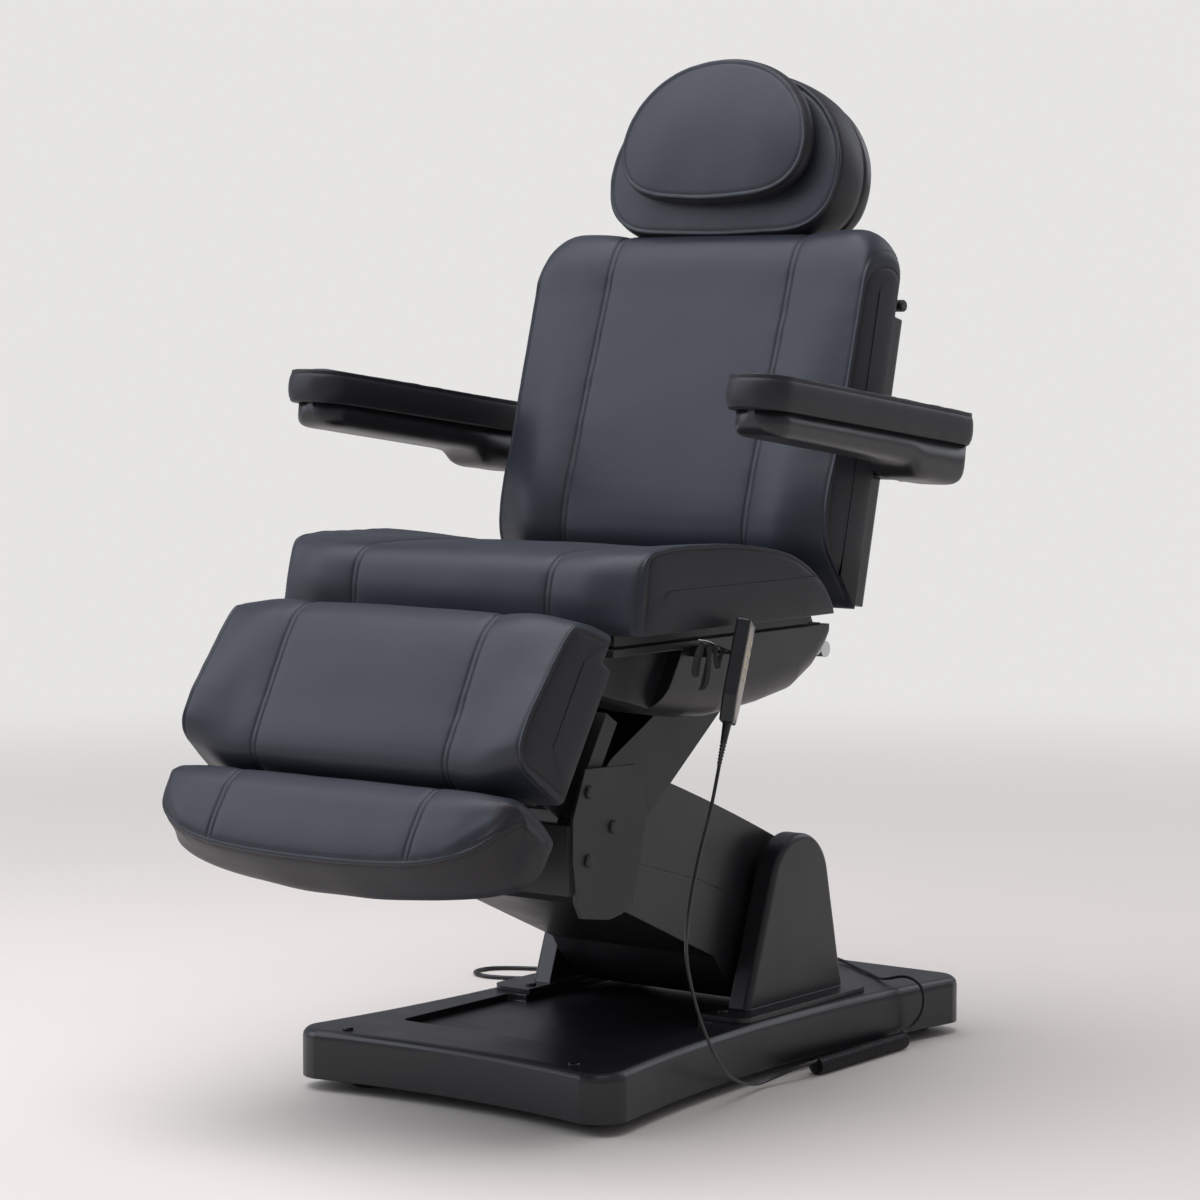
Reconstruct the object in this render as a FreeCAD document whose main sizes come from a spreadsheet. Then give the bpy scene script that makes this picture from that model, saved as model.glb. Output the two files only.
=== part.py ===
import FreeCAD, Part
import math
import os
import re

import Sketcher

os.makedirs("parts", exist_ok=True)
doc = FreeCAD.newDocument("tattoo_chair")

# Driving sizes, in millimetres and degrees. The chair faces -Y, its sitter's left is +X and up is +Z.
# Places along Y and Z are taken from the middle of the base's feet on the floor.
SIZES = {
    # Layout: the row frame's origin lies this far in front of the middle of the feet
    "base_setback": 157,
    # Shared gaps and fits
    "running_gap": 0.05,
    "seat_gap": 0.3,
    "side_gap": 1.0,
    "overrun": 20,
    # Base: steel plate, moulded cover and feet
    "base_front": 497,
    "base_rear": 447,
    "base_half_width": 285,
    "base_waist_half_width": 246,
    "base_corner_radius": 46,
    "base_front_dip": 22,
    "foot_height": 18,
    "foot_radius": 27,
    "foot_side": 205,
    "foot_reach": 410,
    "base_plate_thickness": 12,
    "base_top": 88,
    "base_wall": 5,
    "base_edge_radius": 13,
    "well_half_width": 190,
    "well_front": 360,
    "well_break": 104,
    "well_rear": 186,
    "well_depth": 10,
    "screw_radius": 8,
    "screw_height": 4,
    "base_screw_side": 204,
    "base_screw_front": 462,
    # Towers: two uprights that carry the lift axle, each under a moulded cover
    "axle_y": 105,
    "axle_height": 265,
    "axle_radius": 12,
    "upright_inner": 167,
    "upright_thickness": 16,
    "upright_half_width": 58,
    "tower_inner": 166,
    "tower_outer": 200,
    "tower_radius": 76,
    "tower_front": 40,
    "tower_rear": 222,
    "tower_edge_radius": 9,
    "skirt_inner": 159,
    "skirt_outer": 234,
    "skirt_front": 96,
    "skirt_rear": 242,
    "skirt_height": 8,
    "skirt_corner_radius": 22,
    "skirt_screw_front": 68,
    "skirt_screw_rear": 232,
    "skirt_screw_side": 178,
    # Lower arm: welded frame between two half shells
    "lower_arm_length": 425.4,
    "lower_arm_slope": 23.55,
    "lower_shell_half_width": 150,
    "lower_shell_wall": 4,
    "lower_arm_top": 63,
    "lower_arm_depth": 147,
    "lower_lobe_radius": 181,
    "knuckle_shell_radius": 47,
    "arm_plate_side": 118,
    "arm_plate_thickness": 8,
    "arm_plate_half_height": 38,
    "axle_hub_radius": 24,
    "knuckle_hub_radius": 20,
    "pin_radius": 11,
    # Upper arm: folded steel channel over the lower arm's end
    "upper_arm_length": 339.8,
    "upper_arm_slope": 33,
    "channel_half_width": 165,
    "channel_cheek": 12,
    "channel_web": 8,
    "channel_low_radius": 62,
    "channel_low_rise": 8,
    "channel_top_radius": 33,
    "channel_top_rise": 2,
    # Carriage: steel tray that stays level on top of the upper arm. Its pin lies carriage_pin_drop under
    # the deck, and what it carries is placed along Y from the pin
    "carriage_pin_drop": 37.97,
    "deck_bottom": 658,
    "deck_thickness": 6,
    "deck_half_width": 263,
    "deck_front": 455,
    "deck_rear": 55,
    "rail_side": 167,
    "rail_thickness": 8,
    "rail_front": 300,
    "rail_depth": 30,
    "rail_hanger_reach": 52,
    "rail_hanger_margin": 34.03,
    # Pan: moulded shell below the seat
    "pan_half_width": 272,
    "pan_wall": 4,
    "pan_top": 662,
    "pan_front": 464,
    "pan_rear": 66,
    "pan_lowest": 546,
    "pan_heel_bottom": 600,
    "pan_bilge_radius": 44,
    "pan_slot_half_width": 178,
    "pan_slot_front": 420,
    "pan_slot_rear": 50,
    "pan_ledge": 14,
    "pan_ledge_depth": 8,
    "pan_recess_depth": 22,
    "pan_recess_top_back": 303,
    "pan_recess_bottom_back": 352,
    "pan_recess_top": 651,
    # Seat
    "seat_board_half_width": 272,
    "seat_board_bottom": 666,
    "seat_board_thickness": 15,
    "seat_board_front": 462,
    "seat_board_rear": 10,
    "seat_lug_root": 30,
    "cushion_half_width": 320,
    "seat_cushion_front": 480,
    "seat_cushion_rear": 12,
    "seat_cushion_height": 121,
    "seam_side": 173,
    "seam_half_width": 2.5,
    "seam_depth": 5,
    "cushion_draw": 7,
    "tilt_axis_y": 30,
    "tilt_axis_height": 674,
    "tilt_pin_radius": 5,
    "tilt_hub_radius": 9,
    "tilt_lug_side": 91,
    "tilt_lug_thickness": 8,
    "tilt_tab_width": 30,
    "tilt_pin_length": 48,
    # Backrest: local Z runs up the back, local Y to its rear
    "back_axis_y": 84,
    "back_axis_height": 668,
    "back_recline": 14,
    "back_pin_radius": 7,
    "back_hub_radius": 15,
    "back_bracket_side": 196,
    "back_bracket_thickness": 10,
    "back_plate_half_width": 285,
    "back_plate_low": 30,
    "back_plate_high": 535,
    "back_plate_front": 16,
    "back_plate_thickness": 10,
    "back_cushion_low": 12,
    "back_cushion_high": 561,
    "back_cushion_depth": 128,
    "back_pin_head": 6,
    "back_lever_length": 53,
    "back_lever_angle": 35,
    "back_lever_half_width": 8,
    "back_cover_half_width": 302,
    "back_cover_low": 22,
    "back_cover_high": 455,
    "back_cover_rear": 30,
    "back_cover_wall": 4,
    "back_cover_radius": 14,
    "handle_radius": 9,
    "handle_rise": 482,
    "handle_rear": 40,
    "handle_half_width": 290,
    "handle_leg_side": 262,
    # Headrest
    "post_radius": 8,
    "post_side": 90,
    "post_rear": 10,
    "post_low": 400,
    "post_high": 640,
    "post_sleeve_radius": 12,
    "post_sleeve_low": 400,
    "post_sleeve_high": 530,
    "head_low": 565,
    "head_height": 251,
    "head_half_width": 210,
    "head_front": 73,
    "head_split": 1,
    "head_rear": 27,
    "pillow_low": 612,
    "pillow_height": 207,
    "pillow_half_width": 167,
    "pillow_depth": 46,
    # Armrests: local -Y runs along the pad to its front
    "arm_axis_up": 227,
    "arm_axis_rear": 12,
    "arm_pitch": 7,
    "arm_pin_radius": 8,
    "arm_pin_inner": 326,
    "arm_pin_outer": 368,
    "arm_bar_outer": 336,
    "arm_bar_half_height": 13,
    "arm_bar_front": 2,
    "arm_bar_depth": 20,
    "arm_pad_inner": 346,
    "arm_pad_width": 100,
    "arm_pad_front": 497,
    "arm_pad_rear": 50,
    "arm_pad_bottom": 40,
    "arm_pad_height": 52,
    "arm_base_inset": 8,
    "arm_base_wall": 4,
    "arm_base_front": 478,
    "arm_base_depth": 42,
    "arm_base_front_depth": 26,
    "arm_heel_front": 125,
    "arm_heel_depth": 60,
    "arm_base_rear": 26,
    "arm_boss_radius": 17,
    "arm_boss_inner": 339,
    # Legrest: local -Y runs down the leg, local Z is the upholstered side
    "leg_axis_y": 505,
    "leg_axis_rise": 2,
    "leg_slope": 58,
    "leg_pin_radius": 6,
    "leg_hub_radius": 9,
    "leg_tube_half_length": 176,
    "leg_lug_side": 180,
    "leg_lug_thickness": 10,
    "leg_board_half_width": 262,
    "leg_board_half_thickness": 5,
    "leg_board_low": 225,
    "leg_cushion_top": 23,
    "leg_cushion_low": 236,
    "leg_cushion_height": 116,
    "leg_hinge_room": 20,
    "leg_lever_side": 222,
    "leg_lever_thickness": 8,
    "leg_lever_depth": 48,
    "leg_lever_width": 15,
    "leg_lever_top": 22,
    "guide_side": 256,
    "guide_width": 24,
    "guide_bottom": 84,
    "guide_height": 28,
    "guide_wall": 3,
    "guide_top": 60,
    "guide_low": 215,
    "guide_web": 5,
    # Footrest: measured in the legrest's local directions
    "foot_plate_outer": 292,
    "foot_plate_thickness": 6,
    "foot_plate_height": 208,
    "foot_plate_depth": 160,
    "foot_plate_front": 584,
    "foot_plate_top": 511,
    "foot_panel_thickness": 6,
    "foot_bracket_side": 110,
    "foot_bracket_width": 40,
    "foot_bracket_reach": 45,
    "foot_bracket_height": 28,
    "foot_board_half_width": 215,
    "foot_board_thickness": 8,
    "foot_board_top": 20,
    "foot_board_high": 262,
    "foot_board_low": 326,
    "foot_cushion_high": 250,
    "foot_cushion_low": 389,
    "foot_cushion_half_width": 311,
    "foot_cushion_base": 20,
    "foot_cushion_height": 132,
    "slide_bar_gap": 0.5,
    "slide_bar_low": 240,
    "slide_spacer_length": 20,
    "bolt_radius": 9,
    "bolt_height": 5,
    # Actuators
    "actuator_tube_radius": 17,
    "rod_radius": 8,
    "lift_actuator_depth": 95,
    "lift_actuator_start": 70,
    "lift_actuator_length": 180,
    "lift_motor_radius": 24,
    "lift_motor_length": 70,
    "lift_rod_reach": 90,
    "rod_bore_margin": 8,
    "tilt_actuator_side": 215,
    "tilt_actuator_y": 330,
    "tilt_actuator_length": 80,
    "back_actuator_side": 228,
    "back_actuator_drop": 39,
    "back_actuator_rear": 10,
    "back_actuator_length": 190,
    "back_rod_reach": 112,
    "leg_actuator_side": 212,
    "leg_actuator_drop": 44,
    "leg_actuator_front": 440,
    "leg_actuator_length": 180,
    "leg_rod_reach": 44,
    # Control box and glands
    "control_half_width": 90,
    "control_front": 215,
    "control_length": 180,
    "control_height": 44,
    "gland_length": 24,
    "gland_radius": 9,
    "gland_tip_radius": 5.5,
    "mains_gland_side": 120,
    "mains_gland_height": 46,
    "tail_gland_side": 6,
    "tail_gland_y": 412,
    "tail_gland_width": 26,
    "tail_gland_height": 18,
    # Handset
    "handset_side": 348,
    "handset_y": 286,
    "handset_height": 610,
    "handset_lean": 18.5,
    "handset_turn": 25,
    "handset_length": 170,
    "handset_width": 50,
    "handset_foot_width": 30,
    "handset_thickness": 20,
    "handset_chamfer": 3,
    "handset_taper": 62,
    "handset_tip_base_radius": 6.5,
    "handset_tip_radius": 4.5,
    "handset_tip_length": 26,
    "key_width": 14,
    "key_height": 9,
    "key_side": 9.5,
    "key_pitch": 17,
    "key_first": 62,
    "key_proud": 1,
    "key_sunk": 0.6,
    "key_pocket": 1.8,
    "key_gap": 0.35,
    "hanger_y": 268,
    "hanger_width": 34,
    "hanger_bottom": 640,
    "hanger_height": 14,
    "hook_radius": 2.5,
    "hook_reach": 38,
    # Cords
    "handset_cord_diameter": 5,
    "curl_diameter": 26,
    "curl_turns": 40,
    "curl_pitch": 6,
    "curl_lead_radius": 6,
    "curl_wire": 4.4,
    "curl_start_side": 281,
    "curl_start_y": 12,
    "curl_start_height": 13.2,
    "mains_cord_diameter": 7,
    "coil_outer_radius": 54,
    "coil_pitch": 7.8,
    "coil_lead": 62,
    "coil_floor_gap": 0.3,
    "coil_side": 60,
    "coil_y": 528,
    "plug_length": 44,
    "plug_width": 34,
    "plug_height": 22,
    "plug_corner_radius": 4,
    "prong_radius": 2.4,
    "prong_side": 9.5,
    "prong_length": 19,
}

sheet = doc.addObject("Spreadsheet::Sheet", "sizes")
for row, (alias, value) in enumerate(SIZES.items(), start=1):
    sheet.set(f"A{row}", alias)
    sheet.set(f"B{row}", str(value))
    sheet.setAlias(f"B{row}", alias)
doc.recompute()


class SheetValues:
    """The sheet's cells as plain numbers, by alias."""

    def __getattr__(self, alias):
        return float(sheet.get(alias))


s = SheetValues()


def bound(text):
    """An expression in which every alias is read from the sheet."""
    return re.sub(r"[a-z_]\w*", lambda m: "sizes." + m.group() if m.group() in SIZES else m.group(), text)


def bind(obj, **properties):
    """Bind properties of obj to expressions; a double underscore stands for a dot."""
    for name, text in properties.items():
        obj.setExpression(name.replace("__", "."), bound(text))
    return obj


# Where each group's own frame stands: its Y and Z, and its turn about X in degrees
LOWER_SLOPE = "lower_arm_slope * 1 deg"
UPPER_SLOPE = "upper_arm_slope * 1 deg"
RECLINE = "back_recline * 1 deg"
AXLE_Y = "base_setback + axle_y"
KNUCKLE_Y = f"{AXLE_Y} - lower_arm_length * cos({LOWER_SLOPE})"
KNUCKLE_Z = f"axle_height + lower_arm_length * sin({LOWER_SLOPE})"
TOP_PIN_Y = f"{KNUCKLE_Y} + upper_arm_length * cos({UPPER_SLOPE})"
TOP_PIN_Z = f"{KNUCKLE_Z} + upper_arm_length * sin({UPPER_SLOPE})"
CARRIAGE_Z = f"{TOP_PIN_Z} + carriage_pin_drop - deck_bottom"
BACK_Y = f"{TOP_PIN_Y} + back_axis_y"
BACK_Z = f"{CARRIAGE_Z} + back_axis_height"
ARM_Y = f"{BACK_Y} + arm_axis_up * sin({RECLINE}) + arm_axis_rear * cos({RECLINE})"
ARM_Z = f"{BACK_Z} + arm_axis_up * cos({RECLINE}) - arm_axis_rear * sin({RECLINE})"
FRAMES = {
    "floor": ("base_setback", "0", "0"),
    "lower_arm": (AXLE_Y, "axle_height", "-lower_arm_slope"),
    "upper_arm": (KNUCKLE_Y, KNUCKLE_Z, "upper_arm_slope"),
    "carriage": (TOP_PIN_Y, CARRIAGE_Z, "0"),
    "back": (BACK_Y, BACK_Z, "-back_recline"),
    "arm": (ARM_Y, ARM_Z, "-arm_pitch"),
    "leg": (f"{TOP_PIN_Y} - leg_axis_y", f"{CARRIAGE_Z} + deck_bottom + leg_axis_rise", "leg_slope"),
}
X_AXIS = FreeCAD.Vector(1, 0, 0)
Y_AXIS = FreeCAD.Vector(0, 1, 0)
Z_AXIS = FreeCAD.Vector(0, 0, 1)
ORIGIN = FreeCAD.Vector(0, 0, 0)
SIDES = (("left", 1), ("right", -1))
subparts = []


def finish(obj, label, frame):
    """Name a finished sub-part and set it in its group's frame."""
    if obj.TypeId in ("Part::Box", "Part::Cylinder"):
        obj = group(obj)
    obj.Label = label
    y_text, z_text, turn_text = FRAMES[frame]
    obj.Placement = FreeCAD.Placement(ORIGIN, FreeCAD.Rotation(X_AXIS, 1))
    bind(obj, Placement__Base__y=y_text, Placement__Base__z=z_text, Placement__Rotation__Angle=turn_text)
    subparts.append(obj)
    return obj


def box(x, y, z, dx, dy, dz):
    """A block from its low corner and its three sizes, all expressions."""
    block = doc.addObject("Part::Box", "Block")
    return bind(block, Placement__Base__x=x, Placement__Base__y=y, Placement__Base__z=z,
                Length=dx, Width=dy, Height=dz)


def rod(radius, length, x="0", y="0", z="0", along=X_AXIS):
    """A round bar from its start point, along a direction."""
    bar = doc.addObject("Part::Cylinder", "Bar")
    bar.Placement.Rotation = FreeCAD.Rotation(Z_AXIS, along)
    return bind(bar, Radius=radius, Height=length, Placement__Base__x=x, Placement__Base__y=y,
                Placement__Base__z=z)


def fused(*shapes):
    union = doc.addObject("Part::MultiFuse", "Union")
    union.Shapes = list(shapes)
    return union


def cut(base, *tools):
    """The base less all the tools."""
    tool = tools[0] if len(tools) == 1 else fused(*tools)
    result = doc.addObject("Part::Cut", "Difference")
    result.Base = base
    result.Tool = tool
    return result


def group(*shapes):
    """Separate solids that share one node."""
    bundle = doc.addObject("Part::Compound", "Group")
    bundle.Links = list(shapes)
    return bundle


def held(shape, name="Form"):
    """A shape computed from the sheet's values, as a document object."""
    feature = doc.addObject("Part::Feature", name)
    feature.Shape = shape
    return feature


def plate(points, start, thickness, name="Plate"):
    """A body padded along X from a sketched outline whose corners are expressions."""
    body = doc.addObject("PartDesign::Body", name)
    sketch = body.newObject("Sketcher::SketchObject", name + "Outline")
    plane = next(o for o in body.Origin.OriginFeatures if o.Role == "YZ_Plane")
    sketch.AttachmentSupport = [(plane, "")]
    sketch.MapMode = "FlatFace"
    bind(sketch, AttachmentOffset__Base__z=start)
    count = len(points)
    for index in range(count):
        turn = 2 * math.pi / count
        here = FreeCAD.Vector(math.cos(index * turn), math.sin(index * turn), 0)
        there = FreeCAD.Vector(math.cos((index + 1) * turn), math.sin((index + 1) * turn), 0)
        sketch.addGeometry(Part.LineSegment(here, there), False)
    for index in range(count):
        sketch.addConstraint(Sketcher.Constraint("Coincident", index, 2, (index + 1) % count, 1))
    for index, corner in enumerate(points):
        for kind, text in zip(("DistanceX", "DistanceY"), corner):
            number = sketch.addConstraint(Sketcher.Constraint(kind, -1, 1, index, 1, 1.0))
            sketch.setExpression(f"Constraints[{number}]", bound(text))
    pad = body.newObject("PartDesign::Pad", name + "Pad")
    pad.Profile = sketch
    bind(pad, Length=thickness)
    body.Tip = pad
    return body


def at(y, z, x=0):
    return FreeCAD.Vector(x, y, z)


def line(start, end):
    return Part.LineSegment(start, end).toShape()


def arc(start, middle, end):
    return Part.Arc(start, middle, end).toShape()


def polar(centre, radius, degrees, x=0):
    """A point of a circle in the side view."""
    angle = math.radians(degrees)
    return at(centre.y + radius * math.cos(angle), centre.z + radius * math.sin(angle), x)


def closed(points):
    """Straight edges round a list of points."""
    return [line(a, b) for a, b in zip(points, points[1:] + points[:1])]


def prism(edges, start, end):
    """A side-view outline, drawn at X = 0, pushed along X from start to end."""
    face = Part.Face(Part.Wire(edges))
    face.translate(FreeCAD.Vector(start, 0, 0))
    return face.extrude(FreeCAD.Vector(end - start, 0, 0))


def mirrored(shape):
    """The same shape on the other side of the chair."""
    return shape.mirror(ORIGIN, X_AXIS)


def outer_tangents(first, first_radius, second, second_radius):
    """The angle, in degrees, of the upper common tangent's normal on two circles in the side view."""
    gap = second.sub(first)
    heading = math.degrees(math.atan2(gap.z, gap.y))
    return heading + math.degrees(math.acos((first_radius - second_radius) / gap.Length)), heading


def link(first, first_radius, second, second_radius, start, end):
    """A flat link whose outline goes round two circles, pushed along X."""
    upper, heading = outer_tangents(first, first_radius, second, second_radius)
    lower = 2 * heading - upper
    edges = [
        line(polar(first, first_radius, upper), polar(second, second_radius, upper)),
        arc(polar(second, second_radius, upper), polar(second, second_radius, heading),
            polar(second, second_radius, lower)),
        line(polar(second, second_radius, lower), polar(first, first_radius, lower)),
        arc(polar(first, first_radius, lower), polar(first, first_radius, heading + 180),
            polar(first, first_radius, upper)),
    ]
    return prism(edges, start, end)


def block(x0, x1, y0, y1, z0, z1):
    """A plain block between two corners."""
    return Part.makeBox(x1 - x0, y1 - y0, z1 - z0, FreeCAD.Vector(x0, y0, z0))


def drum(radius, x0, x1, centre):
    """A round bar along X about a point of the side view."""
    return Part.makeCylinder(radius, x1 - x0, FreeCAD.Vector(x0, centre.y, centre.z), X_AXIS)


def rounded(shape, radius, chosen):
    """The shape with the chosen edges rounded."""
    return shape.makeFillet(radius, [e for e in shape.Edges if chosen(e)])


def upright_edge(edge):
    return abs(edge.BoundBox.ZLength) > edge.BoundBox.XLength + edge.BoundBox.YLength


# Base
def base_outline(inset, height):
    """The base's plan outline: waisted sides, a dipped front edge and round corners."""
    half = s.base_half_width - inset
    waist = s.base_waist_half_width - inset
    front = inset - s.base_front
    rear = s.base_rear - inset
    corner = s.base_corner_radius - inset
    middle = (front + rear) / 2
    turn = corner * (1 - math.sqrt(0.5))

    def point(x, y):
        return FreeCAD.Vector(x, y, height)

    edges = [
        arc(point(half, front + corner), point(waist, middle), point(half, rear - corner)),
        arc(point(half, rear - corner), point(half - turn, rear - turn), point(half - corner, rear)),
        line(point(half - corner, rear), point(corner - half, rear)),
        arc(point(corner - half, rear), point(turn - half, rear - turn), point(-half, rear - corner)),
        arc(point(-half, rear - corner), point(-waist, middle), point(-half, front + corner)),
        arc(point(-half, front + corner), point(turn - half, front + turn), point(corner - half, front)),
        arc(point(corner - half, front), point(0, front + s.base_front_dip), point(half - corner, front)),
        arc(point(half - corner, front), point(half - turn, front + turn), point(half, front + corner)),
    ]
    return Part.Face(Part.Wire(edges))


def uprights():
    """The two steel plates that stand on the base plate and hold the lift axle."""
    axle = at(s.axle_y, s.axle_height)
    floor = s.foot_height + s.base_plate_thickness
    inner = s.upright_inner
    outer = inner + s.upright_thickness
    column = block(inner, outer, s.axle_y - s.upright_half_width, s.axle_y + s.upright_half_width,
                   floor - s.base_plate_thickness / 2, s.axle_height)
    upright = column.fuse(drum(s.upright_half_width, inner, outer, axle))
    upright = upright.cut(drum(s.axle_radius + s.running_gap, inner - s.overrun, outer + s.overrun, axle))
    return [upright, mirrored(upright)]


def base_frame():
    sheet_steel = base_outline(s.base_wall + s.side_gap / 2, s.foot_height)
    plate_shape = sheet_steel.extrude(FreeCAD.Vector(0, 0, s.base_plate_thickness))
    return held(plate_shape.fuse(uprights()).removeSplitter(), "BaseFrame")


def well_blocks(margin):
    """The sunk part of the cover's top: wide in front, narrower between the towers."""
    bottom = s.base_top - s.well_depth - margin
    top = s.base_top + s.overrun
    wide = block(-s.well_half_width - margin, s.well_half_width + margin, -s.well_front - margin,
                 -s.well_break + margin, bottom, top)
    wide = rounded(wide, s.base_edge_radius, upright_edge)
    narrow = block(-s.skirt_inner - margin, s.skirt_inner + margin, -s.well_break - s.overrun,
                   s.well_rear + margin, bottom, top)
    return wide.fuse(narrow)


# The cover's softened rim: how far each step lies in from the side and down from the top
EDGE_SHARES = ((0, 1), (0.08, 0.6), (0.3, 0.28), (0.62, 0.07), (1, 0))


def base_cover():
    foot = base_outline(0, s.foot_height).OuterWire
    wires = [foot]
    for inset, drop in EDGE_SHARES:
        wires.append(base_outline(inset * s.base_edge_radius, s.base_top - drop * s.base_edge_radius).OuterWire)
    outer = Part.makeLoft(wires, True, True)
    inner_height = s.base_top - s.base_wall - s.foot_height
    inner = base_outline(s.base_wall, s.foot_height).extrude(FreeCAD.Vector(0, 0, inner_height))
    inner = inner.cut(well_blocks(s.base_wall))
    shell = outer.cut(inner).cut(well_blocks(0))
    for x0 in (s.upright_inner - s.side_gap, -s.upright_inner - s.upright_thickness - s.side_gap):
        half = s.upright_half_width + s.side_gap
        shell = shell.cut(block(x0, x0 + s.upright_thickness + 2 * s.side_gap, s.axle_y - half,
                                s.axle_y + half, s.foot_height, s.base_top + s.overrun))
    return held(shell, "BaseCover")


def tangent_point(point, centre, radius, side):
    """Where a line from a point touches a circle in the side view."""
    gap = point.sub(centre)
    opening = math.degrees(math.acos(radius / gap.Length))
    return polar(centre, radius, math.degrees(math.atan2(gap.z, gap.y)) + side * opening)


def tower_cover(side):
    """A moulded cover round one upright, with a low skirt that screws to the base cover."""
    axle = at(s.axle_y, s.axle_height)
    front = at(-s.tower_front, s.base_top)
    rear = at(s.tower_rear, s.base_top)
    left = tangent_point(front, axle, s.tower_radius, -1)
    right = tangent_point(rear, axle, s.tower_radius, 1)
    top = at(s.axle_y, s.axle_height + s.tower_radius)
    shell = prism([line(front, left), arc(left, top, right), line(right, rear), line(rear, front)],
                  s.tower_inner, s.tower_outer)
    shell = rounded(shell, s.tower_edge_radius,
                    lambda e: e.BoundBox.XMin > s.tower_outer - s.side_gap and
                    e.BoundBox.ZMax > s.base_top + s.side_gap)
    skirt = block(s.skirt_inner, s.skirt_outer, -s.skirt_front, s.skirt_rear, s.base_top,
                  s.base_top + s.skirt_height)
    skirt = rounded(skirt, s.skirt_corner_radius,
                    lambda e: upright_edge(e) and e.BoundBox.XMin > s.tower_inner)
    shell = shell.fuse(skirt)
    inner = s.skirt_inner - s.overrun
    outer = s.upright_inner + s.upright_thickness + s.side_gap
    half = s.upright_half_width + s.side_gap
    slot = block(inner, outer, s.axle_y - half, s.axle_y + half, s.base_top - s.overrun, s.axle_height)
    shell = shell.cut(slot).cut(drum(half, inner, outer, axle))
    return held(shell if side > 0 else mirrored(shell), "TowerCover")


def dome(radius, height, foot, axis):
    """A low round cap with a softened rim."""
    cap = Part.makeCylinder(radius, height, foot, axis)
    rim = foot.add(FreeCAD.Vector(axis).multiply(height))
    return rounded(cap, height * 0.6, lambda e: e.BoundBox.Center.distanceToPoint(rim) < s.side_gap)


def cover_screws():
    spots = [(s.base_screw_side, -s.base_screw_front, s.base_top)]
    skirt_top = s.base_top + s.skirt_height
    spots += [(s.skirt_screw_side, -s.skirt_screw_front, skirt_top),
              (s.skirt_screw_side, s.skirt_screw_rear, skirt_top)]
    caps = [dome(s.screw_radius, s.screw_height, FreeCAD.Vector(side * x, y, z), Z_AXIS)
            for x, y, z in spots for _, side in SIDES]
    return held(Part.makeCompound(caps), "CoverScrews")


def base_feet():
    return group(*(rod("foot_radius", "foot_height", f"{x} * foot_side", f"{y} * foot_reach", "0", Z_AXIS)
                   for x in (-1, 1) for y in (-1, 1)))


def cable_glands():
    mains = Part.makeCone(s.gland_radius, s.gland_tip_radius, s.gland_length,
                          FreeCAD.Vector(-s.mains_gland_side, s.base_rear, s.mains_gland_height), Y_AXIS)
    tail = block(s.tail_gland_side - s.tail_gland_width, s.tail_gland_side,
                 s.tail_gland_y - s.tail_gland_height / 2, s.tail_gland_y + s.tail_gland_height / 2,
                 s.base_top, s.base_top + s.tail_gland_height)
    return held(Part.makeCompound([mains, tail]), "CableGlands")


finish(base_frame(), "base_frame", "floor")
finish(base_cover(), "base_cover", "floor")
finish(base_feet(), "base_feet", "floor")
for side_name, side_sign in SIDES:
    finish(tower_cover(side_sign), f"tower_cover_{side_name}", "floor")
finish(rod("axle_radius", "2 * (upright_inner + upright_thickness)", "-upright_inner - upright_thickness",
           "axle_y", "axle_height"), "lift_axle", "floor")
finish(cover_screws(), "cover_screws", "floor")
finish(box("-control_half_width", "control_front", "foot_height + base_plate_thickness",
           "2 * control_half_width", "control_length", "control_height"), "control_box", "floor")
finish(cable_glands(), "cable_glands", "floor")


# Lower arm, in its own frame: -Y runs from the lift axle to the knuckle
def lower_arm_frame():
    bar = box("arm_plate_side", "-lower_arm_length", "-arm_plate_half_height", "arm_plate_thickness",
              "lower_arm_length", "2 * arm_plate_half_height")
    twin = box("-arm_plate_side - arm_plate_thickness", "-lower_arm_length", "-arm_plate_half_height",
               "arm_plate_thickness", "lower_arm_length", "2 * arm_plate_half_height")
    web = box("-arm_plate_side", "axle_hub_radius * 2 - lower_arm_length", "-arm_plate_thickness / 2",
              "2 * arm_plate_side", "lower_arm_length - axle_hub_radius * 4", "arm_plate_thickness")
    axle_half = "upright_inner - side_gap"
    knuckle_half = "channel_half_width - channel_cheek - side_gap"
    axle_hub = rod("axle_hub_radius", f"2 * ({axle_half})", f"-({axle_half})")
    knuckle_hub = rod("knuckle_hub_radius", f"2 * ({knuckle_half})", f"-({knuckle_half})", "-lower_arm_length")
    axle_bore = rod("axle_radius + running_gap", "2 * tower_outer", "-tower_outer")
    pin_bore = rod("pin_radius + running_gap", "2 * tower_outer", "-tower_outer", "-lower_arm_length")
    return cut(fused(bar, twin, web, axle_hub, knuckle_hub), axle_bore, pin_bore)


# Corners of the lower shell's chin, as shares of the arm's length and of its depth
CHIN_SHARES = ((0.847, 1.0), (1.0, 0.714), (1.094, 0.272))
LOBE_REAR_DEGREES = -61.5


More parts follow.
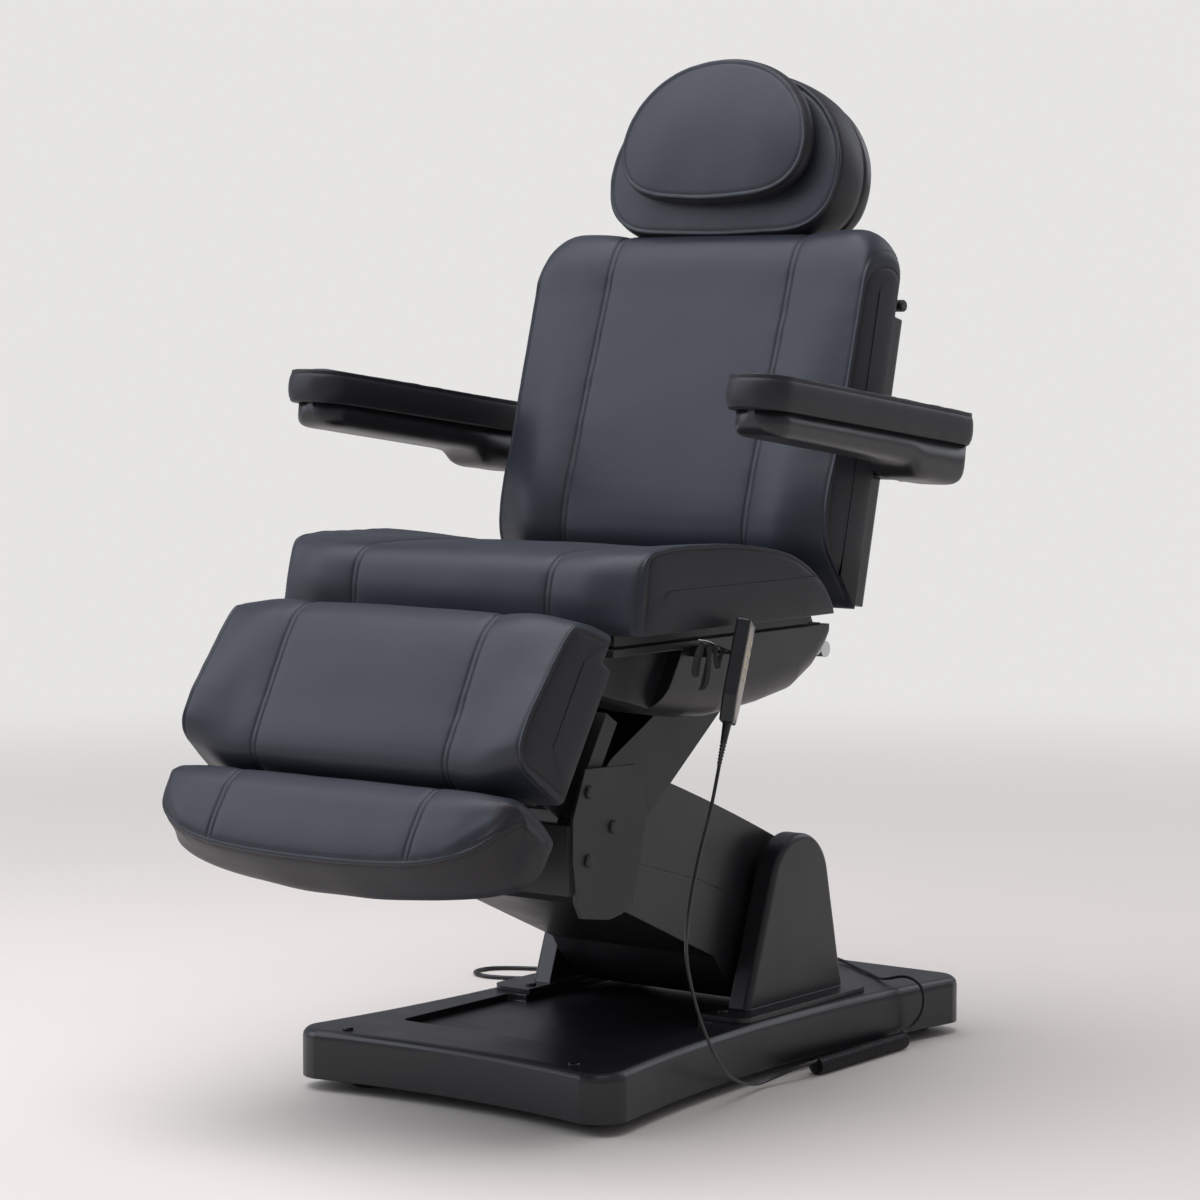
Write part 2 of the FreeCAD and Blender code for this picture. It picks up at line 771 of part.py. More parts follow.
def lower_arm_outline():
    """The arm's side view: a round hub, a deep lobe that dips between the towers and a rounded knuckle."""
    hub = at(0, 0)
    knuckle = at(-s.lower_arm_length, 0)
    top = s.lower_arm_top
    depth = s.lower_arm_depth
    lobe = s.lower_lobe_radius
    nose = s.knuckle_shell_radius
    lobe_front = at(-math.sqrt(lobe * lobe - depth * depth), -depth)
    lobe_rear = polar(hub, lobe, LOBE_REAR_DEGREES)
    chin = [at(-along * s.lower_arm_length, -down * depth) for along, down in CHIN_SHARES]
    nose_front = polar(knuckle, nose, 180)
    return [
        arc(polar(hub, top, 90), polar(hub, top, 45), polar(hub, top, 0)),
        line(polar(hub, top, 0), lobe_rear),
        arc(lobe_rear, polar(hub, lobe, -90), lobe_front),
        line(lobe_front, chin[0]),
        line(chin[0], chin[1]),
        line(chin[1], chin[2]),
        line(chin[2], nose_front),
        arc(nose_front, polar(knuckle, nose, 135), polar(knuckle, nose, 90)),
        arc(polar(knuckle, nose, 90), at(-s.lower_arm_length * 0.54, top * 0.94), polar(hub, top, 90)),
    ]


# The seam between the two half shells, as shares of the arm's length and of its depth
SEAM_SHARES = ((-0.2, -0.31), (0.115, -0.315), (0.44, -0.362), (0.79, -0.507), (1.16, -0.33))


def above_seam(drop):
    points = [at(-along * s.lower_arm_length, up * s.lower_arm_depth - drop) for along, up in SEAM_SHARES]
    ceiling = s.lower_arm_top + s.overrun
    points += [at(points[-1].y, ceiling), at(points[0].y, ceiling)]
    half = s.lower_shell_half_width + s.overrun
    return prism(closed(points), -half, half)


def lower_arm_shell():
    """Both half shells as one hollow form with holes for the hubs."""
    outline = Part.Face(Part.Wire(lower_arm_outline()))
    half = s.lower_shell_half_width
    inner = outline.makeOffset2D(-s.lower_shell_wall)
    solid = outline.extrude(FreeCAD.Vector(2 * half, 0, 0))
    solid.translate(FreeCAD.Vector(-half, 0, 0))
    room = inner.extrude(FreeCAD.Vector(2 * (half - s.lower_shell_wall), 0, 0))
    room.translate(FreeCAD.Vector(s.lower_shell_wall - half, 0, 0))
    shell = solid.cut(room)
    knuckle = at(-s.lower_arm_length, 0)
    wide = half + s.overrun
    shell = shell.cut(drum(s.axle_hub_radius + s.seat_gap, -wide, wide, at(0, 0)))
    return shell.cut(drum(s.knuckle_hub_radius + s.seat_gap, -wide, wide, knuckle))


def lift_actuator():
    """A tube and its motor, hung from the arm's web, with a bore for the rod."""
    start = -s.lift_actuator_start
    end = start - s.lift_actuator_length
    axis = at(start, -s.lift_actuator_depth)
    back = FreeCAD.Vector(0, -1, 0)
    tube = Part.makeCylinder(s.actuator_tube_radius, s.lift_actuator_length, axis, back)
    motor = Part.makeCylinder(s.lift_motor_radius, s.lift_motor_length, axis, back)
    hanger = block(-s.actuator_tube_radius / 2, s.actuator_tube_radius / 2,
                   start - s.lift_motor_length, start - s.actuator_tube_radius,
                   -s.lift_actuator_depth, -s.arm_plate_thickness / 2)
    depth = s.lift_actuator_length - 2 * s.actuator_tube_radius
    bore = Part.makeCylinder(s.rod_radius + s.seat_gap, depth, at(end, -s.lift_actuator_depth), Y_AXIS)
    return held(tube.fuse([motor, hanger]).cut(bore), "LiftActuator")


def rod_with_eye(start, direction, length, eye):
    """An actuator rod that ends in a flat round eye."""
    bar = Part.makeCylinder(s.rod_radius, length, start, direction)
    end = start.add(FreeCAD.Vector(direction).multiply(length))
    disc = Part.makeCylinder(eye, 2 * s.rod_radius, end.sub(FreeCAD.Vector(s.rod_radius, 0, 0)), X_AXIS)
    return bar.fuse(disc)


def lift_rod():
    mouth = s.lift_actuator_start + s.lift_actuator_length
    start = at(s.lift_rod_reach - mouth, -s.lift_actuator_depth)
    return held(rod_with_eye(start, FreeCAD.Vector(0, -1, 0), 2 * s.lift_rod_reach, s.rod_radius * 1.5), "Rod")


finish(lower_arm_frame(), "lower_arm_frame", "lower_arm")
shell_form = lower_arm_shell()
finish(held(shell_form.common(above_seam(0))), "lower_arm_upper_shell", "lower_arm")
finish(held(shell_form.cut(above_seam(s.seat_gap))), "lower_arm_lower_shell", "lower_arm")
finish(rod("pin_radius", "2 * channel_half_width", "-channel_half_width", "-lower_arm_length"),
       "knuckle_pin", "lower_arm")
finish(lift_actuator(), "lift_actuator", "lower_arm")
finish(lift_rod(), "lift_rod", "lower_arm")


# Upper arm, in its own frame: +Y runs from the knuckle to the top pin
def upper_arm():
    low = at(0, s.channel_low_rise)
    high = at(s.upper_arm_length, s.channel_top_rise)
    outer = s.channel_half_width
    inner = outer - s.channel_cheek
    web = s.channel_web
    form = link(low, s.channel_low_radius, high, s.channel_top_radius, -outer, outer)
    room = link(low, s.channel_low_radius - web, high, s.channel_top_radius - web, -inner, inner)
    past = s.upper_arm_length + 2 * s.channel_top_radius
    front = -2 * s.channel_low_radius
    deep = -2 * s.channel_low_radius
    lip = s.channel_low_radius / 2
    mouth = [at(front, lip), at(0, lip), low, at(past, s.channel_top_rise), at(past, deep), at(front, deep)]
    form = form.cut(room).cut(prism(closed(mouth), -inner, inner))
    pin_line = at(s.upper_arm_length, 0)
    form = form.fuse(drum(s.axle_hub_radius, -inner, inner, pin_line))
    for centre in (at(0, 0), pin_line):
        form = form.cut(drum(s.pin_radius + s.running_gap, -outer - s.overrun, outer + s.overrun, centre))
    return held(form, "UpperArm")


finish(upper_arm(), "upper_arm", "upper_arm")


# Carriage
def top_pin(radius, half):
    """A round bar through the upper arm's top pin line."""
    return rod(radius, f"2 * ({half})", f"-({half})", "0", "deck_bottom - carriage_pin_drop")


def tilt_lugs():
    """Two pairs of lugs on the deck for the seat's rear hinge."""
    pitch = "tilt_lug_thickness + tilt_tab_width + 2 * side_gap"
    lugs = []
    for start in ("tilt_lug_side", f"tilt_lug_side + {pitch}"):
        for place in (start, f"-({start}) - tilt_lug_thickness"):
            lugs.append(box(place, "tilt_axis_y - tilt_hub_radius", "deck_bottom + deck_thickness / 2",
                            "tilt_lug_thickness", "2 * tilt_hub_radius",
                            "tilt_axis_height - deck_bottom - deck_thickness / 2"))
            lugs.append(rod("tilt_hub_radius", "tilt_lug_thickness", place, "tilt_axis_y", "tilt_axis_height"))
    return lugs


def carriage_frame():
    deck_top = "deck_bottom + deck_thickness"
    deck = box("-deck_half_width", "-deck_front", "deck_bottom", "2 * deck_half_width",
               "deck_front + deck_rear", "deck_thickness")
    rail = [("-rail_front", "deck_bottom - rail_depth"), ("-rail_hanger_reach", "deck_bottom - rail_depth"),
            ("-rail_hanger_reach / 2", "deck_bottom - carriage_pin_drop - rail_hanger_margin"),
            ("rail_hanger_reach / 2", "deck_bottom - carriage_pin_drop - rail_hanger_margin"),
            ("rail_hanger_reach", "deck_bottom - rail_depth"),
            ("rail_hanger_reach", "deck_bottom + deck_thickness / 2"),
            ("-rail_front", "deck_bottom + deck_thickness / 2")]
    bracket = [("tilt_axis_y", deck_top), ("back_axis_y - back_hub_radius", deck_top),
               ("back_axis_y", "back_axis_height - back_hub_radius"),
               ("back_axis_y", "back_axis_height + back_hub_radius"),
               ("tilt_axis_y", "back_axis_height + back_hub_radius")]
    pieces = [deck]
    for rail_start in ("rail_side", "-rail_side - rail_thickness"):
        pieces.append(plate(rail, rail_start, "rail_thickness", "Rail"))
    for bracket_start in ("back_bracket_side", "-back_bracket_side - back_bracket_thickness"):
        pieces.append(plate(bracket, bracket_start, "back_bracket_thickness", "Bracket"))
        pieces.append(rod("back_hub_radius", "back_bracket_thickness", bracket_start, "back_axis_y",
                          "back_axis_height"))
    pieces += tilt_lugs()
    bores = [top_pin("pin_radius + running_gap", "tower_outer"),
             rod("tilt_pin_radius + running_gap", "2 * tower_outer", "-tower_outer", "tilt_axis_y",
                 "tilt_axis_height"),
             rod("back_pin_radius + running_gap", "2 * deck_half_width", "-deck_half_width", "back_axis_y",
                 "back_axis_height"),
             rod("rod_radius + side_gap", "deck_thickness + 2 * side_gap", "-tilt_actuator_side",
                 "-tilt_actuator_y", "deck_bottom - side_gap", Z_AXIS)]
    return cut(fused(*pieces), *bores)


def carriage_pins():
    pins = [top_pin("pin_radius", "rail_side + rail_thickness + side_gap")]
    for side in (1, -1):
        tilt_start = "tilt_lug_side" if side > 0 else "-tilt_lug_side - tilt_pin_length"
        pins.append(rod("tilt_pin_radius", "tilt_pin_length", tilt_start, "tilt_axis_y", "tilt_axis_height"))
        inner = "back_bracket_side - back_pin_head"
        length = "2 * back_bracket_thickness + 2 * back_pin_head"
        start = inner if side > 0 else f"-({inner}) - ({length})"
        pins.append(rod("back_pin_radius", length, start, "back_axis_y", "back_axis_height"))
    return group(*pins)


# The pan's underside: how far back each station lies from the front, and its height, as shares of the
# pan's length and of the drop from its top to its lowest point
PAN_SHARES = ((0, 0.586), (0.11, 0.707), (0.23, 0.853), (0.36, 0.95), (0.49, 0.99), (0.58, 0.966),
              (0.717, 0.914), (0.857, 0.819), (0.942, 0.629), (0.99, 0.405), (1, 0.24))


def pan_form(wall):
    """The pan's outer form, or the room inside it when a wall is given."""
    length = s.pan_front + s.pan_rear - 2 * wall
    top = s.pan_top + (s.overrun if wall else 0)
    half = s.pan_half_width - wall
    wires = []
    for along, down in PAN_SHARES:
        y = wall - s.pan_front + along * length
        low = s.pan_top - down * (s.pan_top - s.pan_lowest) + wall * 1.1
        radius = min(s.pan_bilge_radius - wall, (s.pan_top - low) * 0.8)
        turn = radius * (1 - math.sqrt(0.5))
        wires.append(Part.Wire([
            line(at(y, top, -half), at(y, low + radius, -half)),
            arc(at(y, low + radius, -half), at(y, low + turn, turn - half), at(y, low, radius - half)),
            line(at(y, low, radius - half), at(y, low, half - radius)),
            arc(at(y, low, half - radius), at(y, low + turn, half - turn), at(y, low + radius, half)),
            line(at(y, low + radius, half), at(y, top, half)),
            line(at(y, top, half), at(y, top, -half)),
        ]))
    return Part.makeLoft(wires, True, True)


def pan_recess(wall):
    """The stepped-in front corners of the pan's side walls."""
    top = s.pan_recess_top + wall
    reach = s.pan_front + s.overrun
    drop = s.pan_lowest - s.overrun
    lean = s.pan_recess_bottom_back - s.pan_recess_top_back
    corners = [at(-reach, top), at(wall - s.pan_recess_top_back, top),
               at(wall - s.pan_recess_top_back - lean * 1.6, drop), at(-reach, drop)]
    inner = s.pan_half_width - s.pan_recess_depth - wall
    wedge = prism(closed(corners), inner, s.pan_half_width + s.overrun)
    return wedge.fuse(mirrored(wedge))


def pan():
    ledge_top = s.deck_bottom
    half = s.pan_half_width
    ring = block(-half, half, -s.pan_front, s.pan_rear, ledge_top - s.pan_ledge_depth, ledge_top)
    opening = block(s.pan_ledge - half, half - s.pan_ledge, s.pan_ledge - s.pan_front,
                    s.pan_rear - s.pan_ledge, ledge_top - s.pan_ledge_depth, ledge_top)
    room = pan_form(s.pan_wall).cut(pan_recess(s.pan_wall)).cut(ring.cut(opening))
    shell = pan_form(0).cut(pan_recess(0)).cut(room)
    slot = block(-s.pan_slot_half_width, s.pan_slot_half_width, -s.pan_slot_front, s.pan_slot_rear,
                 s.pan_lowest - s.overrun, ledge_top - s.pan_ledge_depth - s.side_gap)
    notch = block(s.back_bracket_side - s.side_gap, s.back_actuator_side + s.rod_radius + s.rod_bore_margin,
                  s.rail_depth, s.pan_rear + s.overrun, s.pan_heel_bottom, s.pan_top + s.overrun)
    leg_drive = s.deck_bottom - s.leg_actuator_drop
    mouth = block(s.leg_actuator_side - 2 * s.rod_radius, s.leg_actuator_side + 2 * s.rod_radius,
                  -s.pan_front - s.overrun, s.pan_ledge - s.pan_front - s.pan_wall,
                  leg_drive - 2 * s.rod_radius, leg_drive + 2 * s.rod_radius)
    return held(shell.cut(slot).cut(notch).cut(mouth), "Pan")


def handset_hanger():
    """A black block on the pan's rim with a steel hook that reaches out to the handset."""
    half = s.hanger_width / 2
    base = block(s.pan_half_width, s.pan_half_width + 2 * s.hanger_height, -s.hanger_y - half,
                 half - s.hanger_y, s.hanger_bottom, s.hanger_bottom + s.hanger_height)
    return held(base.fuse(hook(s.hook_radius)), "Hanger")


def hook(radius):
    root_x = s.pan_half_width + 2 * s.hanger_height - radius
    return Part.makeCylinder(radius, s.hook_reach + radius,
                             FreeCAD.Vector(root_x, -s.hanger_y, s.hanger_bottom + s.hanger_height / 2), X_AXIS)


def tilt_actuator():
    foot = FreeCAD.Vector(-s.tilt_actuator_side, -s.tilt_actuator_y, s.deck_bottom - s.tilt_actuator_length)
    tube = Part.makeCylinder(s.actuator_tube_radius, s.tilt_actuator_length, foot)
    bore_foot = foot.add(FreeCAD.Vector(0, 0, s.rod_radius))
    return held(tube.cut(Part.makeCylinder(s.rod_radius + s.seat_gap, s.tilt_actuator_length, bore_foot)), "Tube")


def tilt_rod():
    low = s.deck_bottom - s.tilt_actuator_length + 2 * s.rod_radius
    foot = FreeCAD.Vector(-s.tilt_actuator_side, -s.tilt_actuator_y, low)
    return held(Part.makeCylinder(s.rod_radius, s.seat_board_bottom - s.seat_gap - low, foot), "Rod")


def flat_actuator(x, drop, y_mouth, direction, length):
    """A tube along Y below the deck, on a hanger, with its rod's bore open at the mouth."""
    z = s.deck_bottom - drop
    start = FreeCAD.Vector(x, y_mouth, z)
    back = FreeCAD.Vector(0, -direction, 0)
    tube = Part.makeCylinder(s.actuator_tube_radius, length, start, back)
    y_low = min(y_mouth, y_mouth - direction * length)
    hanger = block(x - s.rod_radius, x + s.rod_radius, y_low + length / 3, y_low + length * 2 / 3, z,
                   s.deck_bottom)
    bore = Part.makeCylinder(s.rod_radius + s.seat_gap, length - s.actuator_tube_radius, start, back)
    return held(tube.fuse(hanger).cut(bore), "Actuator")


def back_rod():
    start = FreeCAD.Vector(s.back_actuator_side, -s.back_actuator_length / 2,
                           s.deck_bottom - s.back_actuator_drop)
    return held(rod_with_eye(start, Y_AXIS, s.back_actuator_length / 2 + s.back_rod_reach, s.rod_radius * 1.5))


def leg_rod():
    start = FreeCAD.Vector(s.leg_actuator_side, s.leg_actuator_length * 0.7 - s.leg_actuator_front,
                           s.deck_bottom - s.leg_actuator_drop)
    reach = s.leg_actuator_length * 0.7 + s.leg_rod_reach
    return held(rod_with_eye(start, FreeCAD.Vector(0, -1, 0), reach, s.rod_radius * 1.5))


finish(carriage_frame(), "carriage_frame", "carriage")
finish(carriage_pins(), "carriage_pins", "carriage")
finish(pan(), "pan", "carriage")
finish(handset_hanger(), "handset_hanger", "carriage")
finish(tilt_actuator(), "tilt_actuator", "carriage")
finish(tilt_rod(), "tilt_rod", "carriage")
finish(flat_actuator(s.back_actuator_side, s.back_actuator_drop, -s.back_actuator_rear, 1,
                     s.back_actuator_length), "back_actuator", "carriage")
finish(back_rod(), "back_rod", "carriage")
finish(flat_actuator(s.leg_actuator_side, s.leg_actuator_drop, -s.leg_actuator_front, -1,
                     s.leg_actuator_length), "leg_actuator", "carriage")
finish(leg_rod(), "leg_rod", "carriage")


# Cushions: ruled lofts through cross-sections with drawn-in sides, crowned bolsters and two sewn channels
def cushion_section(place, base, height, half, edge_share):
    """One closed cross-section; place(x, h) gives the point at x, at h above the cushion's base."""
    edge = edge_share * height
    seam_height = 0.9 * height
    depth = min(s.seam_depth, 0.12 * height)
    draw = min(s.cushion_draw, 0.2 * height)
    seam = s.seam_side
    gap = s.seam_half_width

    def point(x, h):
        return place(x, base + h)

    def side(sign):
        edges = [arc(point(sign * (half - draw), 0), point(sign * half, edge / 2),
                     point(sign * (half - draw / 2), edge)),
                 arc(point(sign * (half - draw / 2), edge), point(sign * (half * 0.42 + seam * 0.58), height),
                     point(sign * (seam + gap), seam_height)),
                 line(point(sign * (seam + gap), seam_height), point(sign * seam, seam_height - depth)),
                 line(point(sign * seam, seam_height - depth), point(sign * (seam - gap), seam_height))]
        return edges

    middle = arc(point(seam - gap, seam_height), point(0, 0.92 * height), point(gap - seam, seam_height))
    floor = line(point(draw - half, 0), point(half - draw, 0))
    return Part.Wire(Part.__sortEdges__([floor, middle] + side(1) + side(-1)))


def cushion(stations, edge_share, start, length, base, height, place_at):
    """A cushion from stations (place along it, crest height, half width), all shares."""
    wires = []
    for along, rise, width in stations:
        wires.append(cushion_section(place_at(start + along * length), base, rise * height,
                                     width * s.cushion_half_width, edge_share))
    return held(Part.makeLoft(wires, True, True), "Cushion")


def lying(y):
    """Sections across a cushion that lies flat, at a place along Y."""
    return lambda x, h: FreeCAD.Vector(x, y, h)


def standing(z):
    """Sections across the back cushion, whose upholstered side faces -Y, at a place along Z."""
    return lambda x, h: FreeCAD.Vector(x, -h, z)


SEAT_STATIONS = ((0.004, 0.1, 0.94), (0.02, 0.41, 0.97), (0.06, 0.735, 0.99), (0.1, 0.925, 1), (0.305, 0.97, 1),
                 (0.6, 0.915, 1), (0.79, 0.745, 1), (0.91, 0.44, 1), (1, 0.12, 0.99))
LEG_STATIONS = ((0, 0.12, 0.96), (0.015, 0.54, 0.97), (0.054, 0.67, 0.985), (0.134, 0.76, 0.99), (0.33, 0.8, 1),
                (0.56, 0.84, 1), (0.74, 0.87, 1), (0.86, 0.84, 1), (0.94, 0.77, 0.99), (0.98, 0.6, 0.98),
                (1, 0.35, 0.96))
BACK_STATIONS = ((0, 0.1, 0.98), (0.024, 0.3, 0.985), (0.06, 0.56, 0.99), (0.102, 0.74, 1), (0.17, 0.86, 1),
                 (0.288, 0.92, 1), (0.434, 0.875, 1), (0.579, 0.8, 1), (0.812, 0.69, 1), (0.925, 0.65, 1),
                 (0.971, 0.58, 0.985), (0.991, 0.43, 0.96), (1, 0.25, 0.93))
# How high the side seams lie, as shares of the crest: nearly level on the seat, lower on the rest
SEAT_EDGE_SHARE = 0.93
PANEL_EDGE_SHARE = 0.78


def seat_board():
    board = box("-seat_board_half_width", "-seat_board_front", "seat_board_bottom", "2 * seat_board_half_width",
                "seat_board_front + seat_board_rear", "seat_board_thickness")
    pieces = [board]
    lug_top = "seat_board_bottom + seat_board_thickness"
    over_pan = "seat_board_bottom - deck_thickness / 3"
    lug = [("seat_lug_root - seat_board_front", over_pan), ("-seat_board_front - rod_radius", over_pan),
           ("-leg_axis_y", "deck_bottom + leg_axis_rise - leg_hub_radius"),
           ("-leg_axis_y", "deck_bottom + leg_axis_rise + leg_hub_radius"),
           ("-seat_board_front", lug_top), ("seat_lug_root - seat_board_front", lug_top)]
    for sign in (1, -1):
        tab = "tilt_lug_side + tilt_lug_thickness + side_gap"
        tab_start = tab if sign > 0 else f"-({tab}) - tilt_tab_width"
        pieces.append(box(tab_start, "seat_board_rear - tilt_hub_radius", "seat_board_bottom", "tilt_tab_width",
                          "tilt_axis_y - seat_board_rear + tilt_hub_radius", "seat_board_thickness"))
        pieces.append(rod("tilt_hub_radius", "tilt_tab_width", tab_start, "tilt_axis_y", "tilt_axis_height"))
        lug_start = "leg_lug_side" if sign > 0 else "-leg_lug_side - leg_lug_thickness"
        pieces.append(plate(lug, lug_start, "leg_lug_thickness", "Lug"))
        pieces.append(rod("leg_hub_radius", "leg_lug_thickness", lug_start, "-leg_axis_y",
                          "deck_bottom + leg_axis_rise"))
    tilt_bore = rod("tilt_pin_radius + running_gap", "2 * tower_outer", "-tower_outer", "tilt_axis_y",
                    "tilt_axis_height")
    leg_bore = rod("leg_pin_radius + running_gap", "2 * tower_outer", "-tower_outer", "-leg_axis_y",
                   "deck_bottom + leg_axis_rise")
    return cut(fused(*pieces), tilt_bore, leg_bore)


finish(seat_board(), "seat_board", "carriage")
finish(cushion(SEAT_STATIONS, SEAT_EDGE_SHARE, -s.seat_cushion_front, s.seat_cushion_front + s.seat_cushion_rear,
               s.seat_board_bottom + s.seat_board_thickness, s.seat_cushion_height, lying),
       "seat_cushion", "carriage")


# Legrest and footrest, in the legrest's own frame
def leg_frame():
    hub = "2 * leg_hub_radius - leg_pin_radius"
    board = box("-leg_board_half_width", "-leg_board_low", "-leg_board_half_thickness",
                "2 * leg_board_half_width", f"leg_board_low - ({hub})", "2 * leg_board_half_thickness")
    tongue = box("-leg_tube_half_length", "-leg_board_low", "-leg_board_half_thickness",
                 "2 * leg_tube_half_length", "leg_board_low", "2 * leg_board_half_thickness")
    tube = rod("leg_hub_radius", "2 * leg_tube_half_length", "-leg_tube_half_length")
    spigot_half = "leg_lug_side + leg_lug_thickness + 2 * side_gap"
    spigots = rod("leg_pin_radius", f"2 * ({spigot_half})", f"-({spigot_half})")
    lever = box("leg_lever_side", "-leg_lever_top - leg_lever_width", "-leg_lever_depth", "leg_lever_thickness",
                "leg_lever_width", "leg_lever_depth")
    pieces = [board, tongue, tube, spigots, lever]
    rooms = []
    run = "guide_low - guide_top"
    for sign in (1, -1):
        start = "guide_side" if sign > 0 else "-guide_side - guide_width"
        web = "guide_side + side_gap" if sign > 0 else "-guide_side - side_gap - guide_web"
        pieces.append(box(start, "-guide_low", "-guide_bottom", "guide_width", run, "guide_height"))
        pieces.append(box(web, "-guide_low", "guide_height - guide_wall - guide_bottom", "guide_web", run,
                          "guide_bottom - guide_height + guide_wall"))
        rooms.append(box(f"{start} + guide_wall", "-guide_low - side_gap", "guide_wall - guide_bottom",
                         "guide_width - 2 * guide_wall", f"{run} + 2 * side_gap",
                         "guide_height - 2 * guide_wall"))
    return cut(fused(*pieces), *rooms)


def in_leg(shape):
    """A shape drawn in the legrest's frame, set in the carriage's frame."""
    moved = shape.copy()
    moved.Placement = FreeCAD.Placement(at(-s.leg_axis_y, s.deck_bottom + s.leg_axis_rise),
                                        FreeCAD.Rotation(X_AXIS, s.leg_slope)).multiply(shape.Placement)
    return moved


# The footrest's side plate: corners as shares of its depth and height from its front top corner
FOOT_PLATE_SHARES = ((0.2, 0), (0.91, 0.02), (0.985, 0.08), (1.05, 0.37), (0.985, 0.65), (0.87, 0.93),
                     (0.71, 0.98), (0.53, 1), (0.155, 0.955), (0.085, 0.86), (0.03, 0.565), (0.03, 0.31))


def foot_frame():
    corners = [at(across * s.foot_plate_depth - s.foot_plate_front, s.foot_plate_top - down * s.foot_plate_height)
               for across, down in FOOT_PLATE_SHARES]
    inner = s.foot_plate_outer - s.foot_plate_thickness
    side_plate = prism(closed(corners), inner, s.foot_plate_outer)
    front = s.foot_panel_thickness - s.foot_plate_front
    panel = block(-inner - s.side_gap, inner + s.side_gap, -s.foot_plate_front, front + s.foot_panel_thickness,
                  s.foot_plate_top - s.foot_plate_height * 0.8, s.foot_plate_top - s.foot_plate_height * 0.35)
    board = in_leg(block(-s.foot_board_half_width, s.foot_board_half_width, -s.foot_board_low,
                         -s.foot_board_high, -s.foot_board_top - s.foot_board_thickness, -s.foot_board_top))
    pieces = [mirrored(side_plate), panel, board]
    for sign in (1, -1):
        middle = sign * s.foot_bracket_side
        half = s.foot_bracket_width / 2
        low = s.foot_plate_top - s.foot_plate_height * 0.6
        pieces.append(block(middle - half, middle + half, -s.foot_plate_front - s.foot_bracket_reach,
                            front, low, low + s.foot_bracket_height))
        bar_inner = s.guide_side + s.guide_wall + s.slide_bar_gap
        bar_outer = s.guide_side + s.guide_width - s.guide_wall - s.slide_bar_gap
        bottom = s.guide_wall + s.slide_bar_gap - s.guide_bottom
        top = s.guide_height - s.guide_wall - s.slide_bar_gap - s.guide_bottom
        bar = in_leg(block(bar_inner, bar_outer, -s.slide_bar_low, -s.guide_top, bottom, top))
        spacer = in_leg(block(bar_inner, inner + s.side_gap, -s.slide_bar_low,
                              s.slide_spacer_length - s.slide_bar_low, bottom, top))
        pieces += [bar, spacer] if sign > 0 else [mirrored(bar), mirrored(spacer)]
    return held(side_plate.fuse(pieces).removeSplitter(), "FootFrame")


# The foot cushion's lower edge: how far out each section lies and how far it reaches down
FOOT_SECTIONS = ((-1, 0.36, 0.86), (-0.985, 0.58, 0.9), (-0.96, 0.68, 0.94), (-0.91, 0.745, 0.97), (-0.84, 0.8, 1),
                 (-0.73, 0.866, 1), (-0.565, 0.928, 0.99), (-0.556, 0.93, 0.95), (-0.547, 0.932, 0.99),
                 (-0.27, 0.985, 1), (0, 1, 1.02), (0.27, 0.985, 1), (0.547, 0.932, 0.99), (0.556, 0.93, 0.95),
                 (0.565, 0.928, 0.99), (0.73, 0.866, 1), (0.84, 0.8, 1), (0.91, 0.745, 0.97), (0.96, 0.68, 0.94),
                 (0.985, 0.58, 0.9), (1, 0.36, 0.86))


def foot_cushion():
    wires = []
    length = s.foot_cushion_low - s.foot_cushion_high
    for out, down, rise in FOOT_SECTIONS:
        x = out * s.foot_cushion_half_width
        low = -s.foot_cushion_high - length * down
        top = s.foot_cushion_height * rise - s.foot_cushion_base
        bottom = -s.foot_cushion_base
        inset = length * 0.12
        points = [at(-s.foot_cushion_high - inset, bottom, x), at(-s.foot_cushion_high, top * 0.45, x),
                  at(-s.foot_cushion_high - inset, top * 0.93, x),
                  at((low - s.foot_cushion_high) / 2, top, x), at(low + inset, top * 0.95, x),
                  at(low, top * 0.5, x), at(low + inset * 0.6, bottom, x)]
        edges = [arc(points[0], points[1], points[2]), arc(points[2], points[3], points[4]),
                 arc(points[4], points[5], points[6]), line(points[6], points[0])]
        wires.append(Part.Wire(edges))
    return held(Part.makeLoft(wires, True, True), "FootCushion")


# The bolts on each side plate: shares of its depth and height from its front top corner
BOLT_SHARES = ((0.25, 0.15), (0.58, 0.4), (0.24, 0.59))


def foot_bolts():
    caps = []
    for across, down in BOLT_SHARES:
        foot = at(across * s.foot_plate_depth - s.foot_plate_front, s.foot_plate_top - down * s.foot_plate_height,
                  s.foot_plate_outer)
        cap = dome(s.bolt_radius, s.bolt_height, foot, X_AXIS)
        caps += [cap, mirrored(cap)]
    return held(Part.makeCompound(caps), "FootBolts")


def leg_cushion():
    """The legrest cushion, with room below it for the hinge tube and the seat's lugs."""
    form = cushion(LEG_STATIONS, PANEL_EDGE_SHARE, -s.leg_cushion_low, s.leg_cushion_low + s.leg_cushion_top,
                   s.leg_board_half_thickness, s.leg_cushion_height, lying).Shape
    reach = s.leg_lug_side + s.leg_lug_thickness + 3 * s.side_gap
    form = form.cut(drum(s.leg_hub_radius + s.side_gap, -reach, reach, ORIGIN))
    for sign in (1, -1):
        slot = block(s.leg_lug_side - 2 * s.side_gap, s.leg_lug_side + s.leg_lug_thickness + 2 * s.side_gap,
                     -s.leg_hub_radius - 2 * s.side_gap, s.leg_cushion_top + s.side_gap, 0, s.leg_hinge_room)
        form = form.cut(slot if sign > 0 else mirrored(slot))
    return held(form, "LegCushion")


finish(leg_frame(), "leg_frame", "leg")
finish(leg_cushion(), "leg_cushion", "leg")
finish(foot_frame(), "foot_frame", "carriage")
finish(foot_cushion(), "foot_cushion", "leg")
finish(foot_bolts(), "foot_bolts", "carriage")


